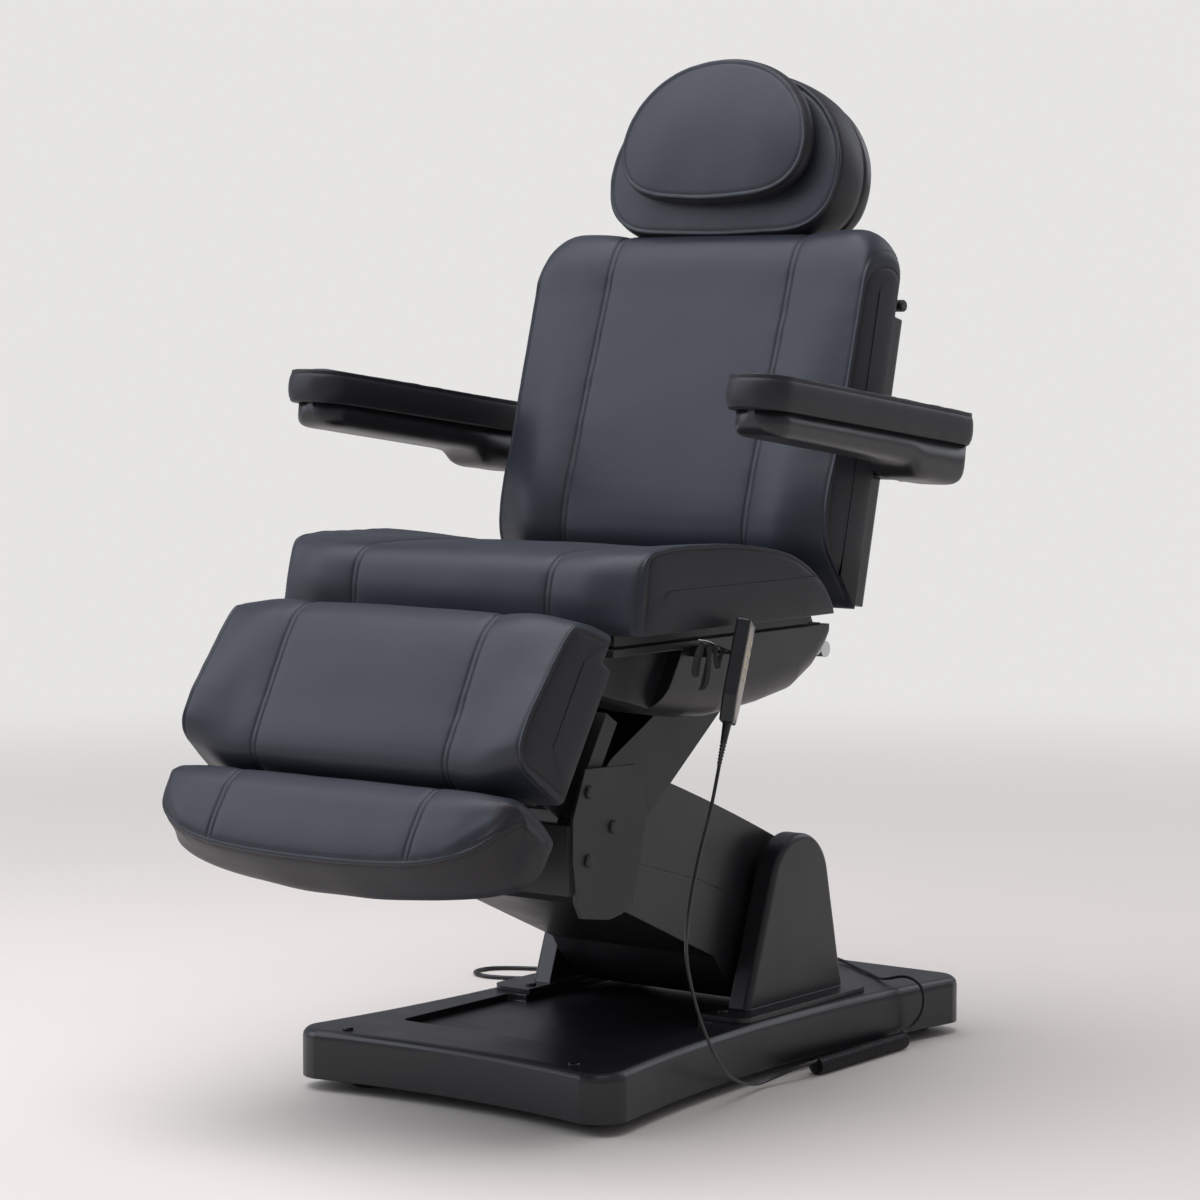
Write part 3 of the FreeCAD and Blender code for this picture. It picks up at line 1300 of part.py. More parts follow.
# Backrest, in its own frame: +Z runs up the back and +Y to its rear
def back_frame():
    half = s.back_plate_half_width
    front = -s.back_plate_front
    rear = front + s.back_plate_thickness
    body = block(-half, half, front, rear, s.back_plate_low, s.back_plate_high)
    pieces = []
    for sign in (1, -1):
        arm_x = s.back_bracket_side + s.back_bracket_thickness + s.side_gap
        arm_end = arm_x + s.back_bracket_thickness
        arm = block(arm_x, arm_end, front, s.back_hub_radius, 0, 3 * s.back_plate_low)
        arm = arm.fuse(drum(s.back_hub_radius, arm_x, arm_end, at(0, 0)))
        sleeve = Part.makeCylinder(s.post_sleeve_radius, s.post_sleeve_high - s.post_sleeve_low,
                                   FreeCAD.Vector(s.post_side, s.post_rear, s.post_sleeve_low))
        web = block(s.post_side - s.post_radius, s.post_side + s.post_radius, rear - s.side_gap, s.post_rear,
                    s.post_sleeve_low, s.post_sleeve_high)
        bar = block(half - s.post_sleeve_radius, s.arm_bar_outer, rear - s.side_gap, s.arm_bar_front + s.arm_bar_depth,
                    s.arm_axis_up - s.arm_bar_half_height, s.arm_axis_up + s.arm_bar_half_height)
        pin = drum(s.arm_pin_radius, s.arm_pin_inner, s.arm_pin_outer, at(s.arm_axis_rear, s.arm_axis_up))
        pieces += [piece if sign > 0 else mirrored(piece) for piece in (arm, sleeve, web, bar, pin)]
    tip = polar(ORIGIN, s.back_lever_length, s.back_lever_angle + s.back_recline - 90)
    pieces.append(link(ORIGIN, s.back_hub_radius, tip, s.back_lever_half_width, arm_x, arm_end))
    body = body.fuse(pieces)
    for sign in (1, -1):
        body = body.cut(Part.makeCylinder(s.post_radius + s.running_gap, s.post_high - s.post_sleeve_low,
                                          FreeCAD.Vector(sign * s.post_side, s.post_rear, s.post_sleeve_low)))
    bore = drum(s.back_pin_radius + s.running_gap, -half, half, ORIGIN)
    return held(body.cut(bore).removeSplitter(), "BackFrame")


def back_cover():
    half = s.back_cover_half_width
    front = s.back_plate_thickness - s.back_plate_front
    wall = s.back_cover_wall
    shell = block(-half, half, front, s.back_cover_rear, s.back_cover_low, s.back_cover_high)
    shell = rounded(shell, s.back_cover_radius, lambda e: e.BoundBox.YMin > front + s.side_gap)
    room = block(wall - half, half - wall, front, s.back_cover_rear - wall, s.back_cover_low + wall,
                 s.back_cover_high - wall)
    inner_radius = s.back_cover_radius - wall
    room = rounded(room, inner_radius, lambda e: e.BoundBox.YMin > front + s.side_gap)
    shell = shell.cut(room)
    hinge = s.back_bracket_side - s.side_gap
    hinge_end = s.back_bracket_side + 2 * s.back_bracket_thickness + 2 * s.side_gap
    bar_half = s.arm_bar_half_height + s.seat_gap
    for sign in (1, -1):
        notch = block(hinge, hinge_end, front, s.back_hub_radius + 2 * s.side_gap, 0, s.back_cover_low + 2 * wall)
        bar = block(half - 2 * wall, half + wall, front, s.arm_bar_front + s.arm_bar_depth + s.seat_gap,
                    s.arm_axis_up - bar_half, s.arm_axis_up + bar_half)
        sleeve = Part.makeCylinder(s.post_sleeve_radius + s.seat_gap, 4 * wall,
                                   FreeCAD.Vector(s.post_side, s.post_rear, s.back_cover_high - 2 * wall))
        web = block(s.post_side - s.post_radius - s.seat_gap, s.post_side + s.post_radius + s.seat_gap, front,
                    s.post_rear, s.back_cover_high - 2 * wall, s.back_cover_high + wall)
        for tool in (notch, bar, sleeve, web):
            shell = shell.cut(tool if sign > 0 else mirrored(tool))
    return held(shell, "BackCover")


def push_handle():
    grip = drum(s.handle_radius, -s.handle_half_width, s.handle_half_width, at(s.handle_rear, s.handle_rise))
    grip = rounded(grip, s.handle_radius / 3, lambda e: e.Closed)
    rear = s.back_plate_thickness - s.back_plate_front
    legs = [Part.makeCylinder(s.handle_radius * 0.8, s.handle_rear - rear,
                              FreeCAD.Vector(sign * s.handle_leg_side, rear, s.handle_rise), Y_AXIS)
            for sign in (1, -1)]
    return held(grip.fuse(legs), "PushHandle")


def head_outline(half, low, height, scale, y):
    """A rounded D: a flat foot, full sides and an arched top."""
    middle = low + height * 0.45

    def point(across, up):
        return FreeCAD.Vector(scale * across * half, y, middle + scale * (low + up * height - middle))

    side = [point(0.8, 0), point(0.985, 0.14), point(1, 0.38), point(0.9, 0.68), point(0.62, 0.9)]
    top = point(0, 1)
    other = [FreeCAD.Vector(-p.x, p.y, p.z) for p in side]
    edges = [arc(side[0], side[1], side[2]), arc(side[2], side[3], side[4]), arc(side[4], top, other[4]),
             arc(other[4], other[3], other[2]), arc(other[2], other[1], other[0]), line(other[0], side[0])]
    return Part.Wire(edges)


def head_form(half, low, height, steps):
    """A padded form through scaled outlines; each step is a place along Y and a scale."""
    return Part.makeLoft([head_outline(half, low, height, scale, y) for y, scale in steps], True, True)


def head_posts():
    height = "post_high - post_low"
    return group(rod("post_radius", height, "post_side", "post_rear", "post_low", Z_AXIS),
                 rod("post_radius", height, "-post_side", "post_rear", "post_low", Z_AXIS))


HEAD_BLOCK_STEPS = ((0, 0.97), (0.12, 1), (0.8, 1), (0.94, 0.975), (1, 0.93))
HEAD_SHELL_STEPS = ((0, 0.96), (0.55, 0.95), (0.85, 0.9), (1, 0.8))
PILLOW_STEPS = ((0, 0.9), (0.2, 0.99), (0.6, 1), (0.85, 0.93), (0.96, 0.8), (1, 0.62))


def head_block():
    steps = [(-depth * s.head_front, scale) for depth, scale in HEAD_BLOCK_STEPS]
    return held(head_form(s.head_half_width, s.head_low, s.head_height, steps), "HeadBlock")


def head_shell():
    depth = s.head_rear - s.head_split
    steps = [(s.head_split + share * depth, scale) for share, scale in HEAD_SHELL_STEPS]
    form = head_form(s.head_half_width, s.head_low, s.head_height, steps)
    for sign in (1, -1):
        form = form.cut(Part.makeCylinder(s.post_radius, s.post_high - s.head_low + s.overrun,
                                          FreeCAD.Vector(sign * s.post_side, s.post_rear, s.head_low - s.overrun)))
    return held(form, "HeadShell")


def head_pillow():
    front = s.head_front + s.seat_gap
    steps = [(-front - share * s.pillow_depth, scale) for share, scale in PILLOW_STEPS]
    return held(head_form(s.pillow_half_width, s.pillow_low, s.pillow_height, steps), "Pillow")


finish(back_frame(), "back_frame", "back")
finish(cushion(BACK_STATIONS, PANEL_EDGE_SHARE, s.back_cushion_low, s.back_cushion_high - s.back_cushion_low,
               s.back_plate_front, s.back_cushion_depth - s.back_plate_front, standing), "back_cushion", "back")
finish(back_cover(), "back_cover", "back")
finish(push_handle(), "push_handle", "back")
finish(head_posts(), "head_posts", "back")
finish(head_block(), "head_block", "back")
finish(head_shell(), "head_shell", "back")
finish(head_pillow(), "head_pillow", "back")


# Armrests, in their own frame: the pivot is the origin and -Y runs to the pad's front
def arm_pad(sign):
    pad = block(s.arm_pad_inner, s.arm_pad_inner + s.arm_pad_width, -s.arm_pad_front, s.arm_pad_rear,
                s.arm_pad_bottom, s.arm_pad_bottom + s.arm_pad_height)
    pad = rounded(pad, s.arm_pad_width * 0.3, upright_edge)
    top = s.arm_pad_bottom + s.arm_pad_height
    pad = rounded(pad, s.arm_pad_height * 0.3, lambda e: e.BoundBox.ZMin > top - s.side_gap)
    pad = rounded(pad, s.arm_pad_height * 0.15, lambda e: e.BoundBox.ZMax < s.arm_pad_bottom + s.side_gap)
    return held(pad if sign > 0 else mirrored(pad), "ArmPad")


def arm_base(sign):
    inner = s.arm_pad_inner + s.arm_base_inset
    outer = s.arm_pad_inner + s.arm_pad_width - s.arm_base_inset
    top = s.arm_pad_bottom
    heel = top - s.arm_heel_depth
    profile = [at(-s.arm_base_front, top), at(-s.arm_base_front, top - s.arm_base_front_depth / 2),
               at(s.arm_base_inset - s.arm_base_front, top - s.arm_base_front_depth),
               at(-s.arm_heel_front, top - s.arm_base_depth),
               at(-s.arm_heel_front * 0.8, heel), at(s.arm_base_rear - s.arm_base_inset, heel),
               at(s.arm_base_rear, heel + s.arm_base_inset), at(s.arm_base_rear, top)]
    form = prism(closed(profile), inner, outer)
    form = rounded(form, s.arm_base_wall, lambda e: e.BoundBox.XLength < s.side_gap and
                   e.BoundBox.ZMax < top - s.side_gap)
    form = form.fuse(drum(s.arm_boss_radius, s.arm_boss_inner, inner + s.side_gap, ORIGIN))
    form = form.cut(drum(s.arm_pin_radius + s.running_gap, s.arm_boss_inner - s.side_gap,
                         s.arm_pin_outer + s.side_gap, ORIGIN))
    return held(form if sign > 0 else mirrored(form), "ArmBase")


for side_name, side_sign in SIDES:
    finish(arm_pad(side_sign), f"arm_pad_{side_name}", "arm")
    finish(arm_base(side_sign), f"arm_base_{side_name}", "arm")


# Handset, in its own frame: +Z runs up it and +X is its keypad face
doc.recompute()
CARRIAGE_PLACE = next(piece.Placement for piece in subparts if piece.Label == "pan")
HANDSET_PLACE = CARRIAGE_PLACE.multiply(FreeCAD.Placement(
    at(-s.handset_y, s.handset_height, s.handset_side),
    FreeCAD.Rotation(X_AXIS, -s.handset_lean).multiply(FreeCAD.Rotation(Z_AXIS, s.handset_turn))))


def in_handset(shape, label):
    """Set a shape drawn in the handset's frame in its place and list it as a sub-part."""
    feature = held(shape, "HandsetPiece")
    feature.Label = label
    feature.Placement = HANDSET_PLACE
    subparts.append(feature)


def key_places():
    """The keys' centres on the keypad, row by row."""
    first = s.handset_length / 2 - s.key_first + 2 * s.key_pitch
    return [at(side * s.key_side, first - row * s.key_pitch) for row in range(4) for side in (-1, 1)]


def key_block(place, start, end, margin):
    half_width = s.key_width / 2 + margin
    half_height = s.key_height / 2 + margin
    return block(start, end, place.y - half_width, place.y + half_width, place.z - half_height,
                 place.z + half_height)


def handset():
    half = s.handset_width / 2
    foot = s.handset_foot_width / 2
    top = s.handset_length / 2
    bottom = s.handset_tip_length - top
    outline = [at(-half, top), at(half, top), at(half, s.handset_taper - top), at(foot, bottom),
               at(-foot, bottom), at(-half, s.handset_taper - top)]
    face = s.handset_thickness / 2
    form = rounded(prism(closed(outline), -face, face), s.handset_chamfer, lambda e: True)
    tip = Part.makeCone(s.handset_tip_radius, s.handset_tip_base_radius, s.handset_tip_length + s.handset_chamfer,
                        at(0, -top))
    form = form.fuse(tip)
    for place in key_places():
        form = form.cut(key_block(place, face - s.key_pocket, face + s.side_gap, s.key_gap))
    bore = hook(s.hook_radius + s.seat_gap)
    bore.Placement = HANDSET_PLACE.inverse().multiply(CARRIAGE_PLACE).multiply(bore.Placement)
    return form.cut(bore)


in_handset(handset(), "handset")
for number, key_place in enumerate(key_places(), start=1):
    key_face = s.handset_thickness / 2
    in_handset(key_block(key_place, key_face - s.key_sunk, key_face + s.key_proud, 0), f"key_{number}")


# Cords: straight runs joined by tangent arcs
def route_edges(points):
    """The runs and arcs along a route, with the tightest radius."""
    edges = []
    tightest = math.inf
    here = points[0]
    for before, corner, after in zip(points, points[1:], points[2:]):
        arriving = corner.sub(before)
        leaving = after.sub(corner)
        half_turn = arriving.getAngle(leaving) / 2
        setback = 0.45 * min(arriving.Length, leaving.Length)
        radius = setback / math.tan(half_turn)
        tightest = min(tightest, radius)
        start = corner.sub(FreeCAD.Vector(arriving).normalize().multiply(setback))
        end = corner.add(FreeCAD.Vector(leaving).normalize().multiply(setback))
        bulge = radius * (1 / math.cos(half_turn) - 1)
        inward = start.add(end).multiply(0.5).sub(corner).normalize()
        edges += [line(here, start), arc(start, corner.add(inward.multiply(bulge)), end)]
        here = end
    edges.append(line(here, points[-1]))
    return edges, tightest


def tube(edges, diameter, name):
    """One unbroken tube along edges that meet end to end; prints its length and volume."""
    path = Part.Wire(edges)
    start = edges[0].valueAt(edges[0].FirstParameter)
    heading = edges[0].tangentAt(edges[0].FirstParameter)
    ring = Part.Wire([Part.Circle(start, heading, diameter / 2).toShape()])
    solid = path.makePipeShell([ring], True, False)
    section = math.pi * (diameter / 2) ** 2
    print(name, "length", round(path.Length), "volume share", round(solid.Volume / (section * path.Length), 4))
    return solid


def cord(points, diameter, name):
    edges, tightest = route_edges([FreeCAD.Vector(*point) for point in points])
    print(name, "tightest radius", round(tightest, 1))
    return held(tube(edges, diameter, name), "Cord")


def bend(start, end, control):
    """An arc from start to end whose tangents meet at control."""
    middle = start.add(end).multiply(0.5)
    rise = control.sub(middle)
    half_chord = start.distanceToPoint(end) / 2
    height = half_chord * math.tan(math.atan2(rise.Length, half_chord) / 2)
    return arc(start, middle.add(rise.normalize().multiply(height)), end)


def biarc(start, heading, end, end_heading):
    """Two arcs that join two points with given headings."""
    reach = end.sub(start)
    along = reach.dot(heading.add(end_heading))
    spread = 2 * (1 - heading.dot(end_heading))
    length = (math.sqrt(along * along + spread * reach.dot(reach)) - along) / spread
    first = start.add(FreeCAD.Vector(heading).multiply(length))
    second = end.sub(FreeCAD.Vector(end_heading).multiply(length))
    joint = first.add(second).multiply(0.5)
    return [bend(start, joint, first), bend(joint, end, second)]


def biarcs(points, headings):
    edges = []
    for index in range(len(points) - 1):
        edges += biarc(points[index], headings[index], points[index + 1], headings[index + 1])
    return edges


def least_gap(edges, diameter, apart, reach):
    """The least gap between stretches of the tube whose places along it differ by apart to reach."""
    samples = []
    run = 0
    for edge in edges:
        count = max(2, int(edge.Length / (diameter / 2)))
        step = (edge.LastParameter - edge.FirstParameter) / count
        samples += [(run + edge.Length * k / count, edge.valueAt(edge.FirstParameter + k * step))
                    for k in range(count)]
        run += edge.Length
    least = math.inf
    for index, (place, point) in enumerate(samples):
        for other_place, other in samples[index + 1:]:
            if apart < other_place - place < reach:
                least = min(least, point.distanceToPoint(other))
    return least - diameter


def curly_cord():
    """The handset cord's curls, a helix along Y, with a straight end at each side."""
    radius = (s.curl_diameter - s.curl_wire) / 2
    rise = s.curl_pitch / (2 * math.pi)
    centre = FreeCAD.Vector(s.curl_start_side, 0, s.curl_start_height)
    lead = s.curl_lead_radius
    first_y = s.curl_start_y + s.curl_wire + lead
    points = []
    headings = []
    for half_turn in range(int(2 * s.curl_turns) + 1):
        angle = math.pi / 2 + half_turn * math.pi
        along = first_y + rise * half_turn * math.pi
        points.append(centre.add(FreeCAD.Vector(radius * math.cos(angle), along, radius * math.sin(angle))))
        headings.append(FreeCAD.Vector(-radius * math.sin(angle), rise, radius * math.cos(angle)).normalize())
    turning = FreeCAD.Vector(headings[0]).multiply(lead)
    entry = points[0].sub(turning).sub(at(lead, 0))
    leaving = points[-1].add(FreeCAD.Vector(headings[-1]).multiply(lead)).add(at(lead, 0))
    edges = [line(entry.sub(at(s.curl_wire, 0)), entry)]
    edges += biarc(entry, Y_AXIS, points[0], headings[0])
    edges += biarcs(points, headings)
    edges += biarc(points[-1], headings[-1], leaving, Y_AXIS)
    edges.append(line(leaving, leaving.add(at(s.curl_wire, 0))))
    print("curl starts", entry.sub(at(s.curl_wire, 0)), "ends", leaving.add(at(s.curl_wire, 0)))
    print("curl gap", round(least_gap(edges, s.curl_wire, math.pi * radius, 5 * math.pi * radius), 2))
    return held(tube(edges, s.curl_wire, "curl"), "Curl")


# The put-away coil: how many quarter turns each stage takes, and how far out and up it goes, in pitches
COIL_STAGE_SHARES = ((12, -3, 0), (2, -0.5, 1), (2, 1, 0), (12, 3, 0))


def mains_coil():
    """A round coil that winds inward on the floor, climbs and winds outward on top of itself."""
    centre = FreeCAD.Vector(s.coil_side, s.coil_y, s.mains_cord_diameter / 2 + s.coil_floor_gap)
    places = [(0, 0.0, 0.0)]
    for quarters, out, up in COIL_STAGE_SHARES:
        turn, radius_share, rise_share = places[-1]
        places += [(turn + k, radius_share + out * k / quarters, rise_share + up * k / quarters)
                   for k in range(1, quarters + 1)]

    def place(index):
        turn, out, up = places[index]
        angle = (turn - 1) * math.pi / 2
        radius = s.coil_outer_radius + out * s.coil_pitch
        return centre.add(FreeCAD.Vector(radius * math.cos(angle), radius * math.sin(angle), up * s.coil_pitch))

    points = [place(index) for index in range(len(places))]
    headings = []
    for index, (turn, _, _) in enumerate(places):
        angle = (turn - 1) * math.pi / 2
        headings.append(FreeCAD.Vector(-math.sin(angle), math.cos(angle), 0))
    edges = [line(points[0].sub(FreeCAD.Vector(s.mains_cord_diameter, 0, 0)), points[0])]
    edges += biarcs(points, headings)
    edges.append(line(points[-1], points[-1].add(FreeCAD.Vector(s.coil_lead, 0, 0))))
    print("coil starts", points[0].sub(FreeCAD.Vector(s.mains_cord_diameter, 0, 0)), "ends",
          points[-1].add(FreeCAD.Vector(s.coil_lead, 0, 0)))
    print("coil gap", round(least_gap(edges, s.mains_cord_diameter, s.coil_outer_radius, 15 * s.coil_outer_radius), 2))
    return held(tube(edges, s.mains_cord_diameter, "coil"), "Coil")


def mains_plug():
    """A moulded plug with two round prongs, lying at the coil's free end."""
    radius = s.coil_outer_radius + s.coil_pitch / 2
    start = s.coil_side + s.coil_lead
    y = s.coil_y - radius
    z = s.mains_cord_diameter / 2 + s.coil_floor_gap + s.coil_pitch
    half_width = s.plug_width / 2
    half_height = s.plug_height / 2
    body = block(start + s.mains_cord_diameter, start + s.plug_length, y - half_width, y + half_width,
                 z - half_height, z + half_height)
    body = rounded(body, s.plug_corner_radius, lambda e: True)
    neck = Part.makeCone(s.mains_cord_diameter * 0.6, half_height * 0.8, 2 * s.mains_cord_diameter,
                         FreeCAD.Vector(start, y, z), X_AXIS)
    prongs = [Part.makeCylinder(s.prong_radius, s.prong_length + s.plug_corner_radius,
                                FreeCAD.Vector(start + s.plug_length - s.plug_corner_radius, y + side * s.prong_side,
                                               z), X_AXIS) for side in (1, -1)]
    return held(body.fuse([neck] + prongs), "Plug")


HANDSET_DROP = [(348, -312.9, 529.4), (348, -321, 505), (348, -333, 468), (349.5, -349, 430), (350.5, -370, 390),
                (351, -388, 345), (351, -401, 300), (349, -404, 250), (344, -384, 200), (335, -345, 140),
                (318, -290, 88), (300, -235, 50), (285, -180, 26), (272, -125, 11), (268, -95, 9),
                (272, -60, 13.5), (284, -20, 22.5), (287, 11.1, 24)]
HANDSET_TAIL = [(275, 273.3, 24), (276.5, 291, 27), (290, 301, 46), (297, 300, 74), (289, 298, 98),
                (262, 297, 106), (232, 301, 97), (207, 316, 91.5), (180, 338, 90.8), (144, 362, 91.2),
                (103, 393, 91), (72, 411, 92.5), (44, 414, 96), (26, 412, 97), (6, 412, 97)]
MAINS_RUN = [(-120, 471, 46), (-120.5, 496, 43.5), (-128, 527, 24), (-152, 550, 5.5), (-202, 552, 3.8),
             (-278, 532, 3.8), (-360, 505, 3.8), (-436, 490, 3.8), (-500, 470, 3.8), (-557, 442, 3.8),
             (-605, 417, 3.8), (-632, 389, 3.8), (-631, 352, 3.8), (-600, 331, 3.8), (-562, 336, 3.8),
             (-500, 369, 3.8), (-435, 405, 3.8), (-365, 438, 3.8), (-290, 461, 3.8), (-215, 472, 3.8),
             (-145, 476, 3.8), (-80, 473, 3.8), (-20, 473.6, 3.8), (25, 474, 3.8), (53, 474, 3.8)]

finish(cord(HANDSET_DROP, s.handset_cord_diameter, "handset drop"), "handset_cord_drop", "floor")
finish(curly_cord(), "handset_cord_curl", "floor")
finish(cord(HANDSET_TAIL, s.handset_cord_diameter, "handset tail"), "handset_cord_tail", "floor")
finish(cord(MAINS_RUN, s.mains_cord_diameter, "mains run"), "mains_cord_run", "floor")
finish(mains_coil(), "mains_cord_coil", "floor")
finish(mains_plug(), "mains_plug", "floor")

# Every object must be sound before anything is written
doc.recompute()
for obj in doc.Objects:
    faults = [state for state in obj.State if state in ("Invalid", "Error")]
    if faults:
        raise RuntimeError(f"{obj.Label} is {faults}")
for subpart in subparts:
    if subpart.Shape.isNull() or not subpart.Shape.isValid():
        raise RuntimeError(f"{subpart.Label} has no valid shape")
for subpart in subparts:
    subpart.Shape.exportStep(f"parts/{subpart.Label}.step")
print(len(subparts), "sub-parts written")
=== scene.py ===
"""A powered treatment chair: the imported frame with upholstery, trim, cords, light and camera."""
import logging
import math
from collections.abc import Callable, Sequence
from dataclasses import dataclass
from enum import Enum
from functools import cached_property

import bmesh
import bpy
import numpy as np
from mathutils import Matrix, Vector, noise


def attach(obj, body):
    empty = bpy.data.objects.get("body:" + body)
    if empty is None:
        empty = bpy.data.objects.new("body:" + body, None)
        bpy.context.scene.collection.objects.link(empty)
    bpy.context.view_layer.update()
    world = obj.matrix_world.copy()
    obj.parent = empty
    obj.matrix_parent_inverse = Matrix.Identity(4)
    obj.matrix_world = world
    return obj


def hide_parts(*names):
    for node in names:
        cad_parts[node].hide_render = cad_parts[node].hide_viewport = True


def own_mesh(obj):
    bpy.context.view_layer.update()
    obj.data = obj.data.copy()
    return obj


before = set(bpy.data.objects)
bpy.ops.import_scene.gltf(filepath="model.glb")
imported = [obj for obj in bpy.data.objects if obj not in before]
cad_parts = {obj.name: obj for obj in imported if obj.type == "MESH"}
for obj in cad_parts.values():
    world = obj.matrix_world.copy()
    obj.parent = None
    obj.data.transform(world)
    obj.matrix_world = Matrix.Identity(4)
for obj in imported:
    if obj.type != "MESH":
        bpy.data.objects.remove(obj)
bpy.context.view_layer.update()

log = logging.getLogger("chair")
MM = 0.001
Pair = tuple[float, float]
Triple = tuple[float, float, float]
Placing = Callable[[np.ndarray], np.ndarray]


# ---------------------------------------------------------------- finishes

class Grain(Enum):
    """How a surface is broken up."""

    PEBBLED = "pebbled"
    MOULDED = "moulded"
    SPRAYED = "sprayed"
    BRUSHED = "brushed"
    TWISTED = "twisted"


def linear(code: str) -> tuple[float, float, float, float]:
    """Turns an sRGB hex colour into linear light.

    Args:
        code: a colour such as "#1B1B1D".

    Returns:
        Red, green, blue and an opaque alpha.
    """
    parts = [int(code[i:i + 2], 16) / 255 for i in (1, 3, 5)]
    red, green, blue = [c / 12.92 if c <= 0.04045 else ((c + 0.055) / 1.055) ** 2.4 for c in parts]
    return red, green, blue, 1.0


def add_node(tree: bpy.types.NodeTree, kind: str, settings: dict | None = None,
             feeds: dict | None = None) -> bpy.types.Node:
    """Adds one node with its settings, constants and links.

    Args:
        tree: the tree that gets the node.
        kind: the node's type name.
        settings: attributes of the node.
        feeds: values or output sockets for its inputs, by name or number.

    Returns:
        The new node.
    """
    node = tree.nodes.new(kind)
    for name, value in (settings or {}).items():
        setattr(node, name, value)
    for name, value in (feeds or {}).items():
        socket = node.inputs[name]
        if isinstance(value, bpy.types.NodeSocket):
            tree.links.new(value, socket)
        else:
            socket.default_value = value
    return node


@dataclass(frozen=True)
class Finish:
    """One material: what it is made of and how its surface was made. Sizes are in millimetres."""

    name: str
    colour: str
    patch_colour: str
    grain: Grain
    grain_size: float
    relief: float
    roughness: float
    roughness_swing: float = 0.08
    patch_size: float = 90.0
    ior: float = 1.5
    metallic: float = 0.0
    sheen: float = 0.0
    coat: float = 0.0
    eased_edge: float = 0.0

    def material(self) -> bpy.types.Material:
        """Builds the material once and returns it.

        Returns:
            The material, shared by every piece with this finish.
        """
        known = bpy.data.materials.get(self.name)
        if known:
            return known
        made = bpy.data.materials.new(self.name)
        made.use_nodes = True
        tree = made.node_tree
        tree.nodes.clear()
        place = add_node(tree, "ShaderNodeTexCoord").outputs["Object"]
        height = self._relief(tree, place)
        patches = add_node(tree, "ShaderNodeTexNoise", {}, {
            "Vector": place, "Scale": 1 / (self.patch_size * MM), "Detail": 3.0, "Roughness": 0.55})
        colour = add_node(tree, "ShaderNodeMix", {"data_type": "RGBA"}, {
            0: patches.outputs[0], 6: linear(self.colour), 7: linear(self.patch_colour)})
        rough = add_node(tree, "ShaderNodeMapRange", {}, {
            "Value": patches.outputs[0], "From Min": 0.25, "From Max": 0.75,
            "To Min": self.roughness - self.roughness_swing,
            "To Max": self.roughness + self.roughness_swing})
        bump = add_node(tree, "ShaderNodeBump", {}, {
            "Height": height, "Distance": self.relief * MM, "Strength": 0.6})
        if self.eased_edge:
            eased = add_node(tree, "ShaderNodeBevel", {"samples": 6}, {
                "Radius": self.eased_edge * MM})
            tree.links.new(eased.outputs["Normal"], bump.inputs["Normal"])
        shader = add_node(tree, "ShaderNodeBsdfPrincipled", {}, {
            "Base Color": colour.outputs[2], "Roughness": rough.outputs["Result"],
            "Metallic": self.metallic, "Normal": bump.outputs["Normal"]})
        if not self.metallic:
            shader.inputs["IOR"].default_value = self.ior
        if self.sheen:
            shader.inputs["Sheen Weight"].default_value = self.sheen
            shader.inputs["Sheen Roughness"].default_value = 0.45
            shader.inputs["Sheen Tint"].default_value = linear("#C8D0E4")
        if self.coat:
            shader.inputs["Coat Weight"].default_value = self.coat
            shader.inputs["Coat Roughness"].default_value = 0.3
        add_node(tree, "ShaderNodeOutputMaterial", {}, {"Surface": shader.outputs["BSDF"]})
        made.diffuse_color = linear(self.colour)
        return made

    def _relief(self, tree: bpy.types.NodeTree,
                place: bpy.types.NodeSocket) -> bpy.types.NodeSocket:
        """Adds the nodes of the surface's own grain.

        Args:
            tree: the material's tree.
            place: the point's object coordinates.

        Returns:
            A height between about 0 and 1.
        """
        scale = 1 / (self.grain_size * MM)
        if self.grain is Grain.PEBBLED:
            cells = add_node(tree, "ShaderNodeTexVoronoi", {"feature": "SMOOTH_F1"}, {
                "Vector": place, "Scale": scale, "Smoothness": 0.35, "Randomness": 0.9})
            folds = add_node(tree, "ShaderNodeTexNoise", {}, {
                "Vector": place, "Scale": scale / 7, "Detail": 4.0, "Roughness": 0.6})
            return add_node(tree, "ShaderNodeMath", {"operation": "MULTIPLY_ADD"}, {
                0: folds.outputs[0], 1: 1.4, 2: cells.outputs["Distance"]}).outputs[0]
        if self.grain is Grain.BRUSHED:
            lines = add_node(tree, "ShaderNodeMapping", {}, {
                "Vector": place, "Scale": (scale, scale * 0.04, scale)})
            return add_node(tree, "ShaderNodeTexNoise", {}, {
                "Vector": lines.outputs[0], "Scale": 1.0, "Detail": 2.0}).outputs[0]
        if self.grain is Grain.TWISTED:
            return add_node(tree, "ShaderNodeTexWave", {"bands_direction": "DIAGONAL"}, {
                "Vector": place, "Scale": scale / 2, "Distortion": 1.5,
                "Detail": 1.0}).outputs["Fac"]
        detail = 6.0 if self.grain is Grain.MOULDED else 2.0
        return add_node(tree, "ShaderNodeTexNoise", {}, {
            "Vector": place, "Scale": scale, "Detail": detail, "Roughness": 0.62}).outputs[0]


# Embossed synthetic leather: satin, charcoal with a cool cast, a fine pebble grain. The real grain
# is under 1 mm and wouldn't show, so it is drawn 2.4 mm wide
LEATHER = Finish("synthetic_leather_charcoal", "#23262E", "#262A32", Grain.PEBBLED, 2.4, 0.16, 0.46,
                 roughness_swing=0.03, patch_size=160, ior=1.42, sheen=0.05)
# The same leather on the side panels and bands, a little less polished, with its colour painted
# darker and less blue as painted shade for faces turned away from the lamps
LEATHER_PAINTED_SHADE = Finish("synthetic_leather_painted_shade", "#1D1C20", "#201F24", Grain.PEBBLED, 2.4, 0.16, 0.5,
                      roughness_swing=0.03, patch_size=160, ior=1.42, sheen=0.03)
